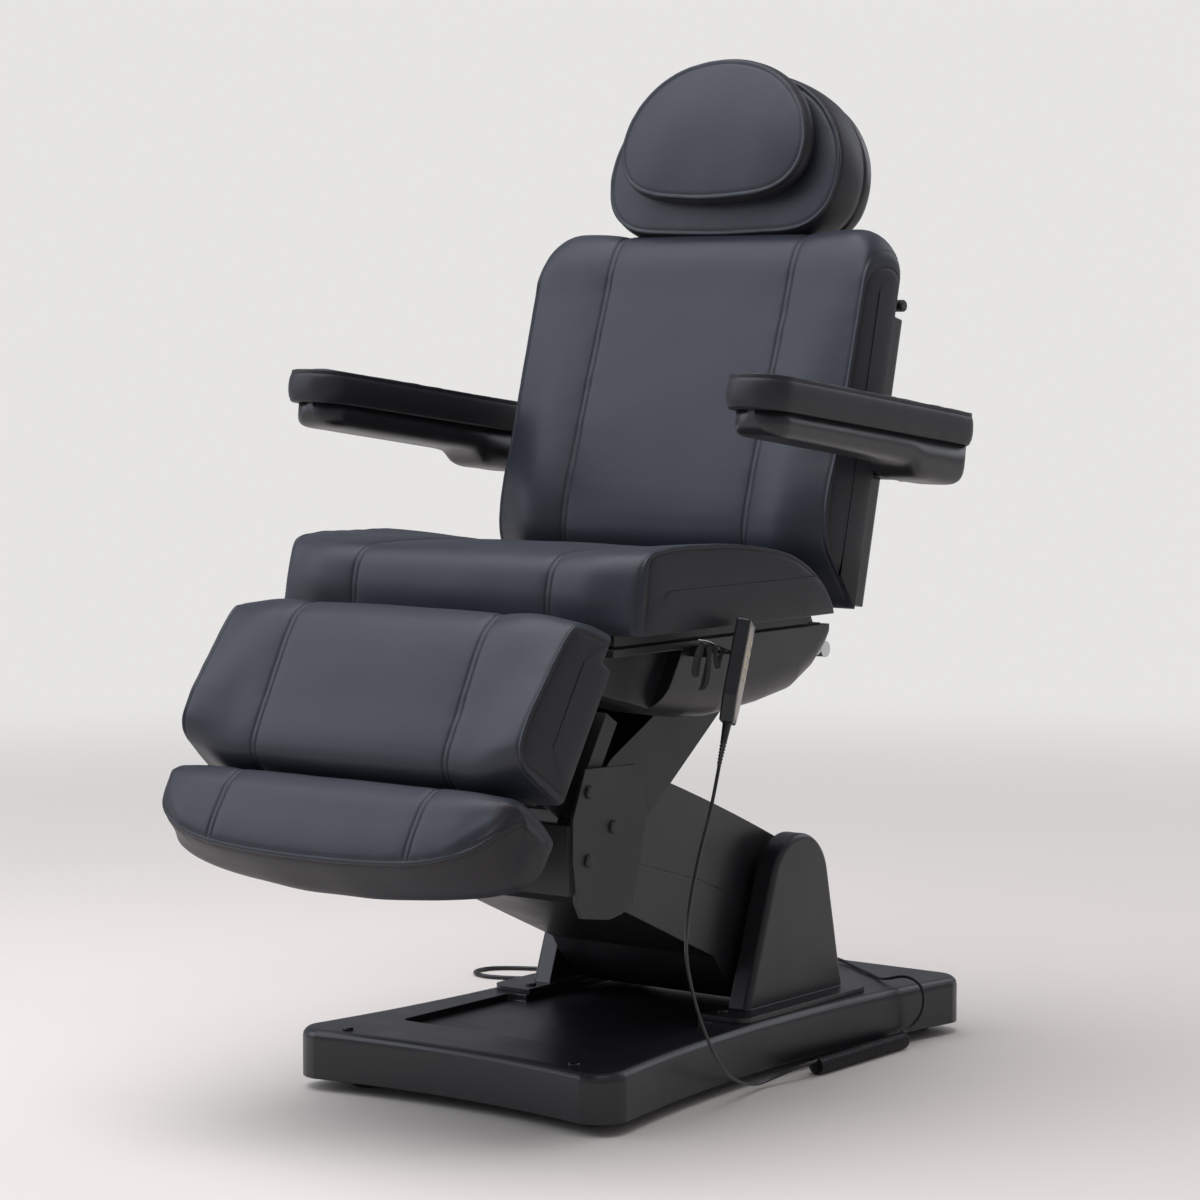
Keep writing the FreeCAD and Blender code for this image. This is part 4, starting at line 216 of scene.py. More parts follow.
# Bonded nylon thread: dull, darker than the leather, twisted
THREAD = Finish("bonded_nylon_thread", "#0F0F12", "#15161A", Grain.TWISTED, 0.8, 0.1, 0.62,
                patch_size=12)
# Injection-moulded ABS with a spark-eroded skin: satin black, soft highlights along its edges
MOULDED_COVER = Finish("moulded_abs_black", "#1B1A1D", "#1F1E22", Grain.MOULDED, 1.6, 0.06, 0.36,
                       roughness_swing=0.05, ior=1.53, eased_edge=2.5)
# Powder-coated steel: an even satin black with a faint orange peel
COATED_STEEL = Finish("powder_coated_steel", "#1D1C1F", "#212023", Grain.SPRAYED, 3.0, 0.08, 0.46,
                      roughness_swing=0.05, eased_edge=1.5)
# Chromed steel, ground before plating
BRIGHT_STEEL = Finish("chromed_steel", "#C9CACB", "#B4B6B9", Grain.BRUSHED, 0.5, 0.02, 0.22,
                      roughness_swing=0.06, patch_size=30, metallic=1.0)
# Anodised aluminium tube of the drives: fine lines along the draw
DRIVE_TUBE = Finish("anodised_aluminium", "#7C7E82", "#707277", Grain.BRUSHED, 0.7, 0.03, 0.34,
                    patch_size=40, metallic=1.0)
# Small moulded nylon parts: handset shell, clips, glands
NYLON_TRIM = Finish("moulded_nylon_trim", "#111113", "#161619", Grain.MOULDED, 0.9, 0.04, 0.32,
                    roughness_swing=0.06, patch_size=40, ior=1.53, eased_edge=1.2)
# Printed polyester film over the keypad: pale warm grey, slightly shiny
KEY_FILM = Finish("keypad_film", "#8F857D", "#9A9088", Grain.SPRAYED, 2.0, 0.02, 0.34,
                  patch_size=30)
# Silicone keys, worn matt by fingers
KEY_RUBBER = Finish("silicone_keypad", "#C9BFA6", "#B8AE97", Grain.SPRAYED, 1.2, 0.05, 0.55,
                    patch_size=10, ior=1.43)
# Vulcanised rubber of the feet: matt, slightly chalky
FOOT_RUBBER = Finish("vulcanised_rubber", "#161617", "#222222", Grain.SPRAYED, 1.5, 0.1, 0.78,
                     patch_size=14, ior=1.52)
# PVC cord sheath: smooth with a soft gloss
CORD_SHEATH = Finish("pvc_cord_sheath", "#0D0D0F", "#131316", Grain.MOULDED, 2.0, 0.03, 0.34,
                     patch_size=60, ior=1.53)
# Woven polypropylene strap: dull with a fine twill
WEBBING = Finish("polypropylene_webbing", "#151517", "#1E1E21", Grain.TWISTED, 1.6, 0.18, 0.7,
                 patch_size=16)
# Matt painted studio floor: pale and warm
STUDIO_FLOOR = Finish("painted_floor", "#E6DFD6", "#E9E2D9", Grain.SPRAYED, 18.0, 0.03, 0.6,
                      roughness_swing=0.03, patch_size=900, ior=1.45)

NODE_FINISHES: dict[str, tuple[Finish, Sequence[str]]] = {
    "moulded_cover": (MOULDED_COVER, (
        "base_cover", "tower_cover_left", "tower_cover_right", "lower_arm_upper_shell",
        "lower_arm_lower_shell", "pan", "back_cover", "head_shell", "arm_base_left",
        "arm_base_right")),
    "coated_steel": (COATED_STEEL, (
        "base_frame", "lower_arm_frame", "upper_arm", "carriage_frame", "seat_board", "leg_frame",
        "foot_frame", "back_frame", "push_handle", "foot_bolts", "control_box", "lift_axle",
        "knuckle_pin", "carriage_pins")),
    "bright_steel": (BRIGHT_STEEL, (
        "head_posts", "lift_rod", "tilt_rod", "back_rod", "leg_rod")),
    "actuator_tube": (DRIVE_TUBE, (
        "lift_actuator", "tilt_actuator", "back_actuator", "leg_actuator")),
    "small_trim": (NYLON_TRIM, (
        "handset", "handset_hanger", "cable_glands", "cover_screws", "mains_plug")),
    "keypad": (KEY_RUBBER, tuple(f"key_{k}" for k in range(1, 9))),
    "foot_rubber": (FOOT_RUBBER, ("base_feet",)),
}


# ---------------------------------------------------------------- places and shared building steps

@dataclass(frozen=True)
class Place:
    """A drawing frame: its origin in the row frame in millimetres, its turn about X in degrees."""

    y: float
    z: float
    turn: float = 0.0

    def put(self, points: np.ndarray) -> np.ndarray:
        """Turns local millimetres into metres in the row frame.

        Args:
            points: an array of x, y and z.

        Returns:
            The same points in the row frame.
        """
        angle = math.radians(self.turn)
        moved = np.array(points, float)
        y, z = moved[:, 1].copy(), moved[:, 2].copy()
        moved[:, 1] = self.y + y * math.cos(angle) - z * math.sin(angle)
        moved[:, 2] = self.z + y * math.sin(angle) + z * math.cos(angle)
        return moved * MM


FLOOR = Place(157.0, 0.0)
BACK = Place(241.0, 668.0, -14.0)
LEG = Place(-348.0, 660.0, 58.0)
ARM = Place(307.56, 885.354, -7.0)

# How finely a smooth curve is first cut between two of its points
STEPS_BETWEEN = 24
# Points nearer together than this, in metres, become one
MERGE_DISTANCE = 2e-5
# Rings along a ribbon
RIBBON_STEPS = 60


def unit(rows: np.ndarray) -> np.ndarray:
    """The rows of an array as unit vectors."""
    return rows / np.maximum(np.linalg.norm(rows, axis=1), 1e-9)[:, None]


def run_along(points: np.ndarray) -> np.ndarray:
    """The distance along a path to each of its points."""
    return np.concatenate([[0], np.cumsum(np.linalg.norm(np.diff(points, axis=0), axis=1))])


def on_both_sides(across: set[float]) -> list[float]:
    """Stations on both sides of the middle, from the distances on one side."""
    return [-x for x in sorted(across, reverse=True) if x > 0] + sorted(across)


def nearest(stations: Sequence[float], x: float) -> int:
    """The number of the station nearest to a place."""
    return min(range(len(stations)), key=lambda k: abs(stations[k] - x))


def capped(rings: Sequence[np.ndarray]) -> list[np.ndarray]:
    """Rings with a point in the middle of each end."""
    first, last = (np.tile(rings[end].mean(axis=0), (len(rings[end]), 1)) for end in (0, -1))
    return [first, *rings, last]


def linked(name: str, data: bpy.types.ID) -> bpy.types.Object:
    """Puts a new object in the scene.

    Args:
        name: its name.
        data: its mesh, curve, light or camera.

    Returns:
        The object, at the origin.
    """
    piece = bpy.data.objects.new(name, data)
    bpy.context.scene.collection.objects.link(piece)
    return piece


def evaluated_mesh(source: bpy.types.Object, name: str) -> bpy.types.Mesh:
    """Keeps an object's final shape as a plain mesh and removes the object.

    Args:
        source: the object.
        name: the mesh's name.

    Returns:
        The mesh.
    """
    bpy.context.view_layer.update()
    graph = bpy.context.evaluated_depsgraph_get()
    mesh = bpy.data.meshes.new_from_object(source.evaluated_get(graph), depsgraph=graph)
    mesh.name = name
    bpy.data.objects.remove(source)
    return mesh


def smooth_through(points: Sequence[Sequence[float]], count: int,
                   closed: bool = False) -> np.ndarray:
    """A centripetal curve through points, cut into equal steps.

    Args:
        points: the places that it passes.
        count: how many points to give back.
        closed: whether the last point joins the first.

    Returns:
        An array of count places.
    """
    def mix(low: np.ndarray, high: np.ndarray, start: float, end: float) -> np.ndarray:
        """The place between two at the time t, which runs from start to end."""
        return (end - t) / (end - start) * low + (t - start) / (end - start) * high

    base = np.array(points, float)
    total = len(base)
    dense = []
    for i in range(total if closed else total - 1):
        if closed:
            p0, p1, p2, p3 = (base[(i + k) % total] for k in (-1, 0, 1, 2))
        else:
            p1, p2 = base[i], base[i + 1]
            p0 = base[i - 1] if i else 2 * p1 - p2
            p3 = base[i + 2] if i + 2 < total else 2 * p2 - p1
        t0 = 0.0
        t1 = t0 + max(np.linalg.norm(p1 - p0), 1e-6) ** 0.5
        t2 = t1 + max(np.linalg.norm(p2 - p1), 1e-6) ** 0.5
        t3 = t2 + max(np.linalg.norm(p3 - p2), 1e-6) ** 0.5
        for t in np.linspace(t1, t2, STEPS_BETWEEN, endpoint=False):
            middle = mix(p1, p2, t1, t2)
            dense.append(mix(mix(mix(p0, p1, t0, t1), middle, t0, t2),
                             mix(middle, mix(p2, p3, t2, t3), t1, t3), t1, t2))
    dense = np.array([*dense, base[0] if closed else base[-1]])
    run = run_along(dense)
    stops = np.linspace(0, run[-1], count + 1)[:-1] if closed else np.linspace(0, run[-1], count)
    return np.column_stack([np.interp(stops, run, dense[:, k]) for k in range(dense.shape[1])])


def normals_of(outline: np.ndarray) -> np.ndarray:
    """Outward normals of a closed outline, whichever way it runs.

    Args:
        outline: its points.

    Returns:
        One unit normal for each point.
    """
    ahead = np.roll(outline, -1, axis=0) - np.roll(outline, 1, axis=0)
    across = unit(np.column_stack([ahead[:, 1], -ahead[:, 0]]))
    x, y = outline[:, 0], outline[:, 1]
    area = np.sum(x * np.roll(y, -1) - np.roll(x, -1) * y)
    return across if area > 0 else -across


def spine_of(outline: np.ndarray, share: float = 0.92) -> np.ndarray:
    """For each point of an outline, its place on the line that runs down the outline's middle.

    Args:
        outline: its points.
        share: what is left off each end of that line, as a share of half the shorter side.

    Returns:
        One point of the middle line for each point.
    """
    low, high = outline.min(axis=0), outline.max(axis=0)
    size = high - low
    middle = (low + high) / 2
    long_way = int(np.argmax(size))
    reach = max((size[long_way] - share * size[1 - long_way]) / 2, 0.0)
    targets = np.tile(middle, (len(outline), 1))
    targets[:, long_way] = np.clip(outline[:, long_way], middle[long_way] - reach,
                                   middle[long_way] + reach)
    return targets


def drawn_in(outline: np.ndarray, spine: np.ndarray, distance: float = 0.0,
             share: float = 0.0) -> np.ndarray:
    """An outline drawn in towards its middle line.

    Args:
        outline: its points.
        spine: their places on the middle line.
        distance: how far each point moves, in millimetres.
        share: how much of the rest of the way it moves then.

    Returns:
        The new outline.
    """
    way = spine - outline
    length = np.maximum(np.linalg.norm(way, axis=1), 1e-6)[:, None]
    moved = outline + way / length * np.minimum(distance, length * 0.8)
    return moved + (spine - moved) * share


def skin(name: str, rings: Sequence[np.ndarray], finishes: Sequence[Finish],
         slot_of_band: Callable[[int], int] | None = None) -> bpy.types.Object:
    """A closed smooth mesh through rings that have equal numbers of points.

    Args:
        name: the new piece's name.
        rings: arrays of points in metres; the first and last have no width of their own.
        finishes: its materials.
        slot_of_band: which material the band after a given ring has.

    Returns:
        The new object, at the origin.
    """
    count = len(rings[0])
    mesh = bpy.data.meshes.new(name)
    corners = [tuple(p) for ring in rings for p in ring]
    faces = []
    slots = []
    for band in range(len(rings) - 1):
        here, there = band * count, (band + 1) * count
        for i in range(count):
            j = (i + 1) % count
            faces.append((here + i, here + j, there + j, there + i))
            slots.append(slot_of_band(band) if slot_of_band else 0)
    mesh.from_pydata(corners, [], faces)
    for finish in finishes:
        mesh.materials.append(finish.material())
    mesh.polygons.foreach_set("material_index", slots)
    work = bmesh.new()
    work.from_mesh(mesh)
    bmesh.ops.remove_doubles(work, verts=work.verts, dist=MERGE_DISTANCE)
    bmesh.ops.recalc_face_normals(work, faces=work.faces)
    for face in work.faces:
        face.smooth = True
    work.to_mesh(mesh)
    work.free()
    return linked(name, mesh)


def pucker(points: np.ndarray, size: float, height: float, seed: float = 0.0) -> np.ndarray:
    """A smooth random height at each point, the same on every run.

    Args:
        points: places in metres.
        size: the width of a fold in millimetres.
        height: the most that it rises, in millimetres.
        seed: moves the pattern.

    Returns:
        One height in millimetres for each point.
    """
    step = 1 / (size * MM)
    return height * np.array([noise.noise(Vector((x * step + seed, y * step, z * step)))
                              for x, y, z in points])


def lathe(name: str, profile: Sequence[Pair], start: Triple, ahead: Triple, finish: Finish,
          count: int = 36) -> bpy.types.Object:
    """A turned piece.

    Args:
        name: the new piece's name.
        profile: distances along the axis and radii, in millimetres.
        start: where the axis starts, in metres.
        ahead: the way that it runs.
        finish: its material.
        count: points in each ring.

    Returns:
        The new object.
    """
    axis = Vector(ahead).normalized()
    side = axis.orthogonal().normalized()
    other = axis.cross(side)
    turns = np.linspace(0, 2 * math.pi, count, endpoint=False)
    way = np.outer(np.cos(turns), side) + np.outer(np.sin(turns), other)
    stops = [(profile[0][0], 0.0), *profile, (profile[-1][0], 0.0)]
    rings = [np.array(start) + (np.array(axis) * along + way * radius) * MM
             for along, radius in stops]
    return skin(name, rings, (finish,))


def ribbon(name: str, points: Sequence[Triple], across: Triple, width: float, thickness: float,
           finish: Finish) -> bpy.types.Object:
    """A flat strap or strip along a route.

    Args:
        name: the new piece's name.
        points: the route in millimetres, in the row frame.
        across: the way of its width.
        width: in millimetres.
        thickness: in millimetres.
        finish: its material.

    Returns:
        The new object.
    """
    path = smooth_through(points, RIBBON_STEPS)
    broad = np.array(Vector(across).normalized())
    corners = [(-1, -1), (-0.9, -1), (0.9, -1), (1, -1), (1, 1), (0.9, 1), (-0.9, 1), (-1, 1)]
    rings = []
    for k, place in enumerate(path):
        ahead = path[min(k + 1, len(path) - 1)] - path[max(k - 1, 0)]
        out = np.cross(ahead, broad)
        out /= np.linalg.norm(out)
        rings.append(MM * np.array([place + broad * w * width / 2 + out * h * thickness / 2
                                    for w, h in corners]))
    return skin(name, capped(rings), (finish,))


def stitch_tree() -> bpy.types.NodeTree:
    """The Geometry Nodes tree that sets stitches along curves.

    Returns:
        A tree with inputs for the pitch, length and thickness of a stitch, and its material.
    """
    known = bpy.data.node_groups.get("stitches_along_a_seam")
    if known:
        return known
    tree = bpy.data.node_groups.new("stitches_along_a_seam", "GeometryNodeTree")
    face = tree.interface
    face.new_socket("Seam", in_out="INPUT", socket_type="NodeSocketGeometry")
    for name in ("Pitch", "Stitch Length", "Thickness"):
        face.new_socket(name, in_out="INPUT", socket_type="NodeSocketFloat")
    face.new_socket("Thread", in_out="INPUT", socket_type="NodeSocketMaterial")
    face.new_socket("Stitches", in_out="OUTPUT", socket_type="NodeSocketGeometry")
    given = add_node(tree, "NodeGroupInput")
    stops = add_node(tree, "GeometryNodeCurveToPoints", {"mode": "LENGTH"}, {
        "Curve": given.outputs["Seam"], "Length": given.outputs["Pitch"]})
    ball = add_node(tree, "GeometryNodeMeshIcoSphere", {}, {"Radius": 0.5, "Subdivisions": 2})
    shape = add_node(tree, "ShaderNodeCombineXYZ", {}, {
        "X": given.outputs["Thickness"], "Y": given.outputs["Thickness"],
        "Z": given.outputs["Stitch Length"]})
    stitch = add_node(tree, "GeometryNodeTransform", {}, {
        "Geometry": ball.outputs["Mesh"], "Scale": shape.outputs[0]})
    placed = add_node(tree, "GeometryNodeInstanceOnPoints", {}, {
        "Points": stops.outputs["Points"], "Instance": stitch.outputs[0],
        "Rotation": stops.outputs["Rotation"]})
    whole = add_node(tree, "GeometryNodeRealizeInstances", {}, {"Geometry": placed.outputs[0]})
    smooth = add_node(tree, "GeometryNodeSetShadeSmooth", {}, {"Geometry": whole.outputs[0]})
    dressed = add_node(tree, "GeometryNodeSetMaterial", {}, {
        "Geometry": smooth.outputs[0], "Material": given.outputs["Thread"]})
    add_node(tree, "NodeGroupOutput", {}, {"Stitches": dressed.outputs[0]})
    return tree


def through_tree(name: str, source: bpy.types.Object, tree: bpy.types.NodeTree,
                 values: dict[str, object]) -> bpy.types.Object:
    """Runs a Geometry Nodes tree on an object and keeps the result as a plain mesh.

    Args:
        name: the new piece's name.
        source: the object that the tree works on, which is then removed.
        tree: the tree.
        values: its inputs by name.

    Returns:
        The new piece.
    """
    modifier = source.modifiers.new(tree.name, "NODES")
    modifier.node_group = tree
    for item in tree.interface.items_tree:
        if item.item_type == "SOCKET" and item.in_out == "INPUT" and item.name in values:
            modifier[item.identifier] = values[item.name]
    return linked(name, evaluated_mesh(source, name))


def path_object(name: str, paths: Sequence[np.ndarray], closed: bool = False) -> bpy.types.Object:
    """A curve object of straight runs between close points, in metres.

    Args:
        name: its name.
        paths: the points of each run.
        closed: whether each path joins its own start.

    Returns:
        The curve object.
    """
    curve = bpy.data.curves.new(name, "CURVE")
    curve.dimensions = "3D"
    for path in paths:
        spline = curve.splines.new("POLY")
        spline.points.add(len(path) - 1)
        for point, place in zip(spline.points, path):
            point.co = (*place, 1.0)
        spline.use_cyclic_u = closed
    return linked(name, curve)


@dataclass(frozen=True)
class Stitching:
    """Rows of stitches: their pitch, length and thickness in millimetres."""

    pitch: float = 5.4
    length: float = 3.9
    thickness: float = 1.5

    def sew(self, name: str, body: str, rows: Sequence[np.ndarray],
            closed: bool = False) -> bpy.types.Object:
        """Sets stitches along rows on one body.

        Args:
            name: the new piece's name.
            body: what it rides on.
            rows: the rows' points in metres.
            closed: whether each row joins its own start.

        Returns:
            The stitches as one mesh.
        """
        piece = through_tree(name, path_object(name + "_rows", rows, closed), stitch_tree(), {
            "Pitch": self.pitch * MM, "Stitch Length": self.length * MM,
            "Thickness": self.thickness * MM, "Thread": THREAD.material()})
        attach(piece, body)
        return piece


# ---------------------------------------------------------------- box cushions: seat, legrest, back

# Distances from a seam's middle or an edge at which rings lie, in millimetres. SEAM_ROW is from the
# middle of a twin seam to each of its rows, and WELT_ROW from an edge to the stitches beside it
SEAM_ROW = 4.2
WELT_ROW = 5.2
SEAM_STEPS = (-20.0, -15.0, -11.0, -8.0, -6.2, -5.0, -SEAM_ROW, -3.4, -2.4, -1.2, 0.0,
              1.2, 2.4, 3.4, SEAM_ROW, 5.0, 6.2, 8.0, 11.0, 15.0, 20.0)
EDGE_STEPS = (48.0, 38.0, 30.0, 23.0, 17.0, 13.0, 10.0, 8.0, 6.4, WELT_ROW, 4.2, 3.2, 2.2, 1.2, 0.5)
PANEL_STEPS = (0.6, 1.3, 2.2, 3.2, 4.2, WELT_ROW, 6.4, 8.0, 11.0, 15.0, 21.0)
PANEL_SHARES = (0.12, 0.25, 0.4, 0.55, 0.7, 0.85, 1.0)
# The relief of the two kinds of seam, as heights and half widths in millimetres
ROW_DEPTH, ROW_WIDTH = 1.3, 1.3
DIP_DEPTH, DIP_WIDTH = 0.9, 10.0
WELT_HEIGHT, WELT_WIDTH = 0.7, 2.4
GROOVE_DEPTH, GROOVE_WIDTH = 1.0, 1.5


def seam_depth(distance: np.ndarray | float) -> np.ndarray:
    """How deep a twin-needle seam lies at a distance from its middle, both in millimetres.

    Args:
        distance: from the middle of its two rows.

    Returns:
        The depth: two stitched grooves with a raised strip between them, in a wide shallow dip.
    """
    away = np.abs(distance)
    rows = ROW_DEPTH * np.exp(-((away - SEAM_ROW) / ROW_WIDTH) ** 2)
    return rows + DIP_DEPTH * np.exp(-(away / DIP_WIDTH) ** 2)


def welt_height(distance: np.ndarray | float) -> np.ndarray:
    """How far an edge seam stands out at a distance from it, both in millimetres.

    Args:
        distance: from the edge.

    Returns:
        The height: a narrow welt with a stitched groove beside it.
    """
    away = np.abs(distance)
    welt = WELT_HEIGHT * np.exp(-(away / WELT_WIDTH) ** 2)
    return welt - GROOVE_DEPTH * np.exp(-((away - WELT_ROW) / GROOVE_WIDTH) ** 2)


def seam_stations(side: float) -> list[float]:
    """Places across a cushion from its middle to past the twin seam at its side."""
    plain = np.linspace(0, side + SEAM_STEPS[0] - 4, 9)
    return [*plain, *(side + step for step in SEAM_STEPS)]


@dataclass
class BoxCushion:
    """A cushion with a bolster along each side, two twin seams and flat side panels.

    Profiles are places along the cushion and heights, from its lower front edge over the face to
    its lower rear edge. All sizes are in millimetres. The relief of the seams fades out over
    face_fade of the face at each end. Worn upholstery has folds all over and creases by its seams.
    """

    name: str
    body: str
    node: str
    place: Placing
    edge_profile: Sequence[Pair]
    seam_profile: Sequence[Pair]
    underside: Sequence[Pair]
    face_half: float
    base_half: float
    height: float
    seam_side: float
    bolster: Callable[[np.ndarray], np.ndarray]
    crown: float
    edge_reach: float = 0.6
    high_corner: float = 0.0
    low_corner: float = 0.0
    fill: float = 0.85
    panel_bulge: float = 4.0
    bulge_reach: float = 13.0
    face_points: int = 132
    under_points: int = 6
    face_fade: float = 0.07
    fold_size: float = 85.0
    crease_size: float = 24.0
    wear: float = 1.1
    crease_reach: float = 13.0
    panel_crease: float = 0.35
    row_margin: float = 0.03
    seed: float = 0.0

    @cached_property
    def edge(self) -> np.ndarray:
        """The closed profile at the cushion's sides."""
        return self.profile(self.edge_profile)

    @cached_property
    def seam(self) -> np.ndarray:
        """The closed profile between its seams."""
        return self.profile(self.seam_profile)

    @cached_property
    def on_face(self) -> np.ndarray:
        """How much of the relief each point of a profile shows.

        Returns:
            Shares from 0, on the underside and at the face's ends, to 1.
        """
        ramp = np.linspace(0, 1, self.face_points)
        shown = np.clip(np.minimum(ramp, 1 - ramp) / self.face_fade, 0, 1) ** 0.7
        return np.concatenate([shown, np.zeros(len(self.edge) - self.face_points)])

    def turned(self, outline: np.ndarray, away: float) -> np.ndarray:
        """Draws a profile's two ends in where the cushion's plan turns its corners.

        Args:
            outline: the profile.
            away: how far it lies from the middle.

        Returns:
            The profile there.
        """
        moved = outline.copy()
        for end, radius, sign in ((outline[:, 0].max(), self.high_corner, 1),
                                  (outline[:, 0].min(), self.low_corner, -1)):
            into = min(max(away - (self.face_half - radius), 0.0), radius)
            drawn = radius - math.sqrt(radius ** 2 - into ** 2)
            if drawn > 0:
                near = np.clip(1 - np.abs(outline[:, 0] - end) / (2.5 * radius), 0, 1)
                moved[:, 0] -= sign * drawn * near * near * (3 - 2 * near)
        return moved

    def profile(self, points: Sequence[Pair]) -> np.ndarray:
        """One closed profile: the face in equal steps, then the underside.

        Args:
            points: the face's points.

        Returns:
            The closed outline.
        """
        face = smooth_through(points, self.face_points)
        under = [points[-1], *self.underside, points[0]]
        floor = []
        for start, end in zip(np.array(under, float), np.array(under[1:], float)):
            floor += [start + (end - start) * k / self.under_points
                      for k in range(self.under_points)]
        return np.vstack([face, np.array(floor[1:])])

    def half_at(self, heights: np.ndarray) -> np.ndarray:
        """Half the cushion's width at each height above its base."""
        share = np.clip(heights / self.height, 0, 1)
        return self.base_half + (self.face_half - self.base_half) * share

    def face_ring(self, x: float) -> np.ndarray:
        """The profile at one place across the face.

        Args:
            x: the place.

        Returns:
            Local points.
        """
        away, span = abs(x), self.face_half - self.seam_side
        outline, out = self.seam, normals_of(self.seam)
        if away >= self.seam_side:
            share = (self.face_half - away) / span
            reach = min(share / self.edge_reach, 1.0)
            mix = reach * reach * (3 - 2 * reach)
            outline = self.edge + (self.seam - self.edge) * mix
            side_out = normals_of(self.edge)
            out = side_out + (out - side_out) * mix
            rise = self.bolster(outline[:, 0]) * math.sin(math.pi * min(share, 1.0))
        else:
            rise = self.crown * (1 - (away / self.seam_side) ** 2) ** 0.8
        rise = rise - seam_depth(away - self.seam_side) + welt_height(self.face_half - away)
        outline = self.turned(outline + unit(out) * (rise * self.on_face)[:, None], away)
        outer = max(away - self.seam_side, 0.0) / span
        width = min(away, self.seam_side) + (self.half_at(outline[:, 1]) - self.seam_side) * outer
        return np.column_stack([math.copysign(1.0, x) * width, outline])

    def panel_ring(self, sign: int, distance: float, share: float) -> np.ndarray:
        """One ring of a side panel, drawn in from the cushion's edge.

        Args:
            sign: 1 for the left side, -1 for the right.
            distance: how far it is drawn in.
            share: how much of the rest of the way it is drawn in then.

        Returns:
            Local points.
        """
        side = self.turned(self.edge, self.face_half)
        ring = drawn_in(side, spine_of(side), distance, share)
        inward = np.linalg.norm(ring - side, axis=1)
        welt = (welt_height(distance) - WELT_HEIGHT) * self.on_face
        bulge = self.panel_bulge * (1 - np.exp(-inward / self.bulge_reach))
        return np.column_stack([sign * (self.half_at(ring[:, 1]) + welt + bulge), ring])

    def worn(self, ring: np.ndarray, near: float) -> np.ndarray:
        """Puts a ring in the row frame and raises its folds and creases.

        Args:
            ring: local points.
            near: how much of the creases it has.

        Returns:
            Points in metres in the row frame.
        """
        placed = self.place(ring)
        lift = (pucker(placed, self.fold_size, self.wear, self.seed)
                + pucker(placed, self.crease_size, self.wear * near, self.seed + 7))
        ahead = np.column_stack([ring[:, 0], ring[:, 1:] + normals_of(ring[:, 1:])])
        way = unit(self.place(ahead) - placed)
        return placed + way * (lift * self.on_face * MM)[:, None]

    def build(self) -> bpy.types.Object:
        """Makes the cushion and its stitches.

        Returns:
            The cushion.
        """
        stations = on_both_sides({
            *seam_stations(self.seam_side),
            *np.linspace(self.seam_side + 26, self.face_half - 52, 7),
            *(self.face_half - d for d in EDGE_STEPS)})
        panel = [(d, 0.0) for d in PANEL_STEPS] + [(PANEL_STEPS[-1], s) for s in PANEL_SHARES]
        rings = [self.worn(self.panel_ring(-1, *step), self.panel_crease)
                 for step in reversed(panel)]
        for x in stations:
            from_seam, from_edge = abs(abs(x) - self.seam_side), abs(self.face_half - abs(x))
            near = sum(math.exp(-away / self.crease_reach) for away in (from_seam, from_edge))
            rings.append(self.worn(self.face_ring(x), near))
        rings += [self.worn(self.panel_ring(1, *step), self.panel_crease) for step in panel]
        first, last = len(panel), len(panel) + len(stations)
        # The side panels take the leather that is painted darker as shade
        piece = skin(self.name, rings, (LEATHER, LEATHER_PAINTED_SHADE),
                     lambda band: 0 if first - 1 <= band < last else 1)
        face = slice(int(self.face_points * self.row_margin),
                     int(self.face_points * (1 - self.row_margin)))
        sewn = PANEL_STEPS.index(WELT_ROW)
        rows = []
        for sign, on_panel in ((-1, first - 1 - sewn), (1, last + sewn)):
            for x in (self.seam_side - SEAM_ROW, self.seam_side + SEAM_ROW,
                      self.face_half - WELT_ROW):
                rows.append(rings[first + nearest(stations, sign * x)][face])
            rows.append(rings[on_panel][face])
        Stitching().sew(self.name + "_stitches", self.body, rows)
        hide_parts(self.node)
        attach(piece, self.body)
        log.info("%s: %d vertices", self.name, len(piece.data.vertices))
        return piece


def lying(place: Place, base: float = 0.0) -> Placing:
    """Profiles drawn along Y with their height along Z.

    Args:
        place: the drawing frame.
        base: the height of the cushion's base.

    Returns:
        A function from local points to the row frame.
    """
    return lambda points: place.put(points + (0, 0, base))


def standing(place: Place) -> Placing:
    """Profiles drawn up Z with their height towards -Y.

    Args:
        place: the drawing frame.

    Returns:
        A function from local points to the row frame.
    """
    return lambda points: place.put(np.column_stack([points[:, 0], -points[:, 2], points[:, 1]]))


def seat_cushion() -> BoxCushion:
    """The seat: nearly level, its rear sloping down under the backrest."""
    return BoxCushion(
        name="seat_pad", body="seat", node="seat_cushion", place=lying(FLOOR, 681.0),
        edge_profile=((-474, 1), (-475, 14), (-472, 34), (-466, 64), (-459, 86), (-448, 103),
                      (-431, 111), (-400, 115), (-360, 116), (-290, 115), (-228, 112), (-160, 104),
                      (-90, 88), (-45, 64), (-15, 38), (2, 16), (6, 2)),
        seam_profile=((-476, 1), (-480, 16), (-481, 44), (-479, 60), (-471, 84), (-461, 97),
                      (-447, 104), (-389, 108), (-320, 107), (-228, 103), (-160, 96), (-90, 80),
                      (-45, 58), (-15, 34), (2, 15), (6, 2)),
        underside=(), face_half=316.0, base_half=319.0, height=116.0, seam_side=173.0,
        bolster=lambda along: np.full(len(along), 4.5), crown=2.5, low_corner=16.0, fill=0.9,
        seed=1.0)


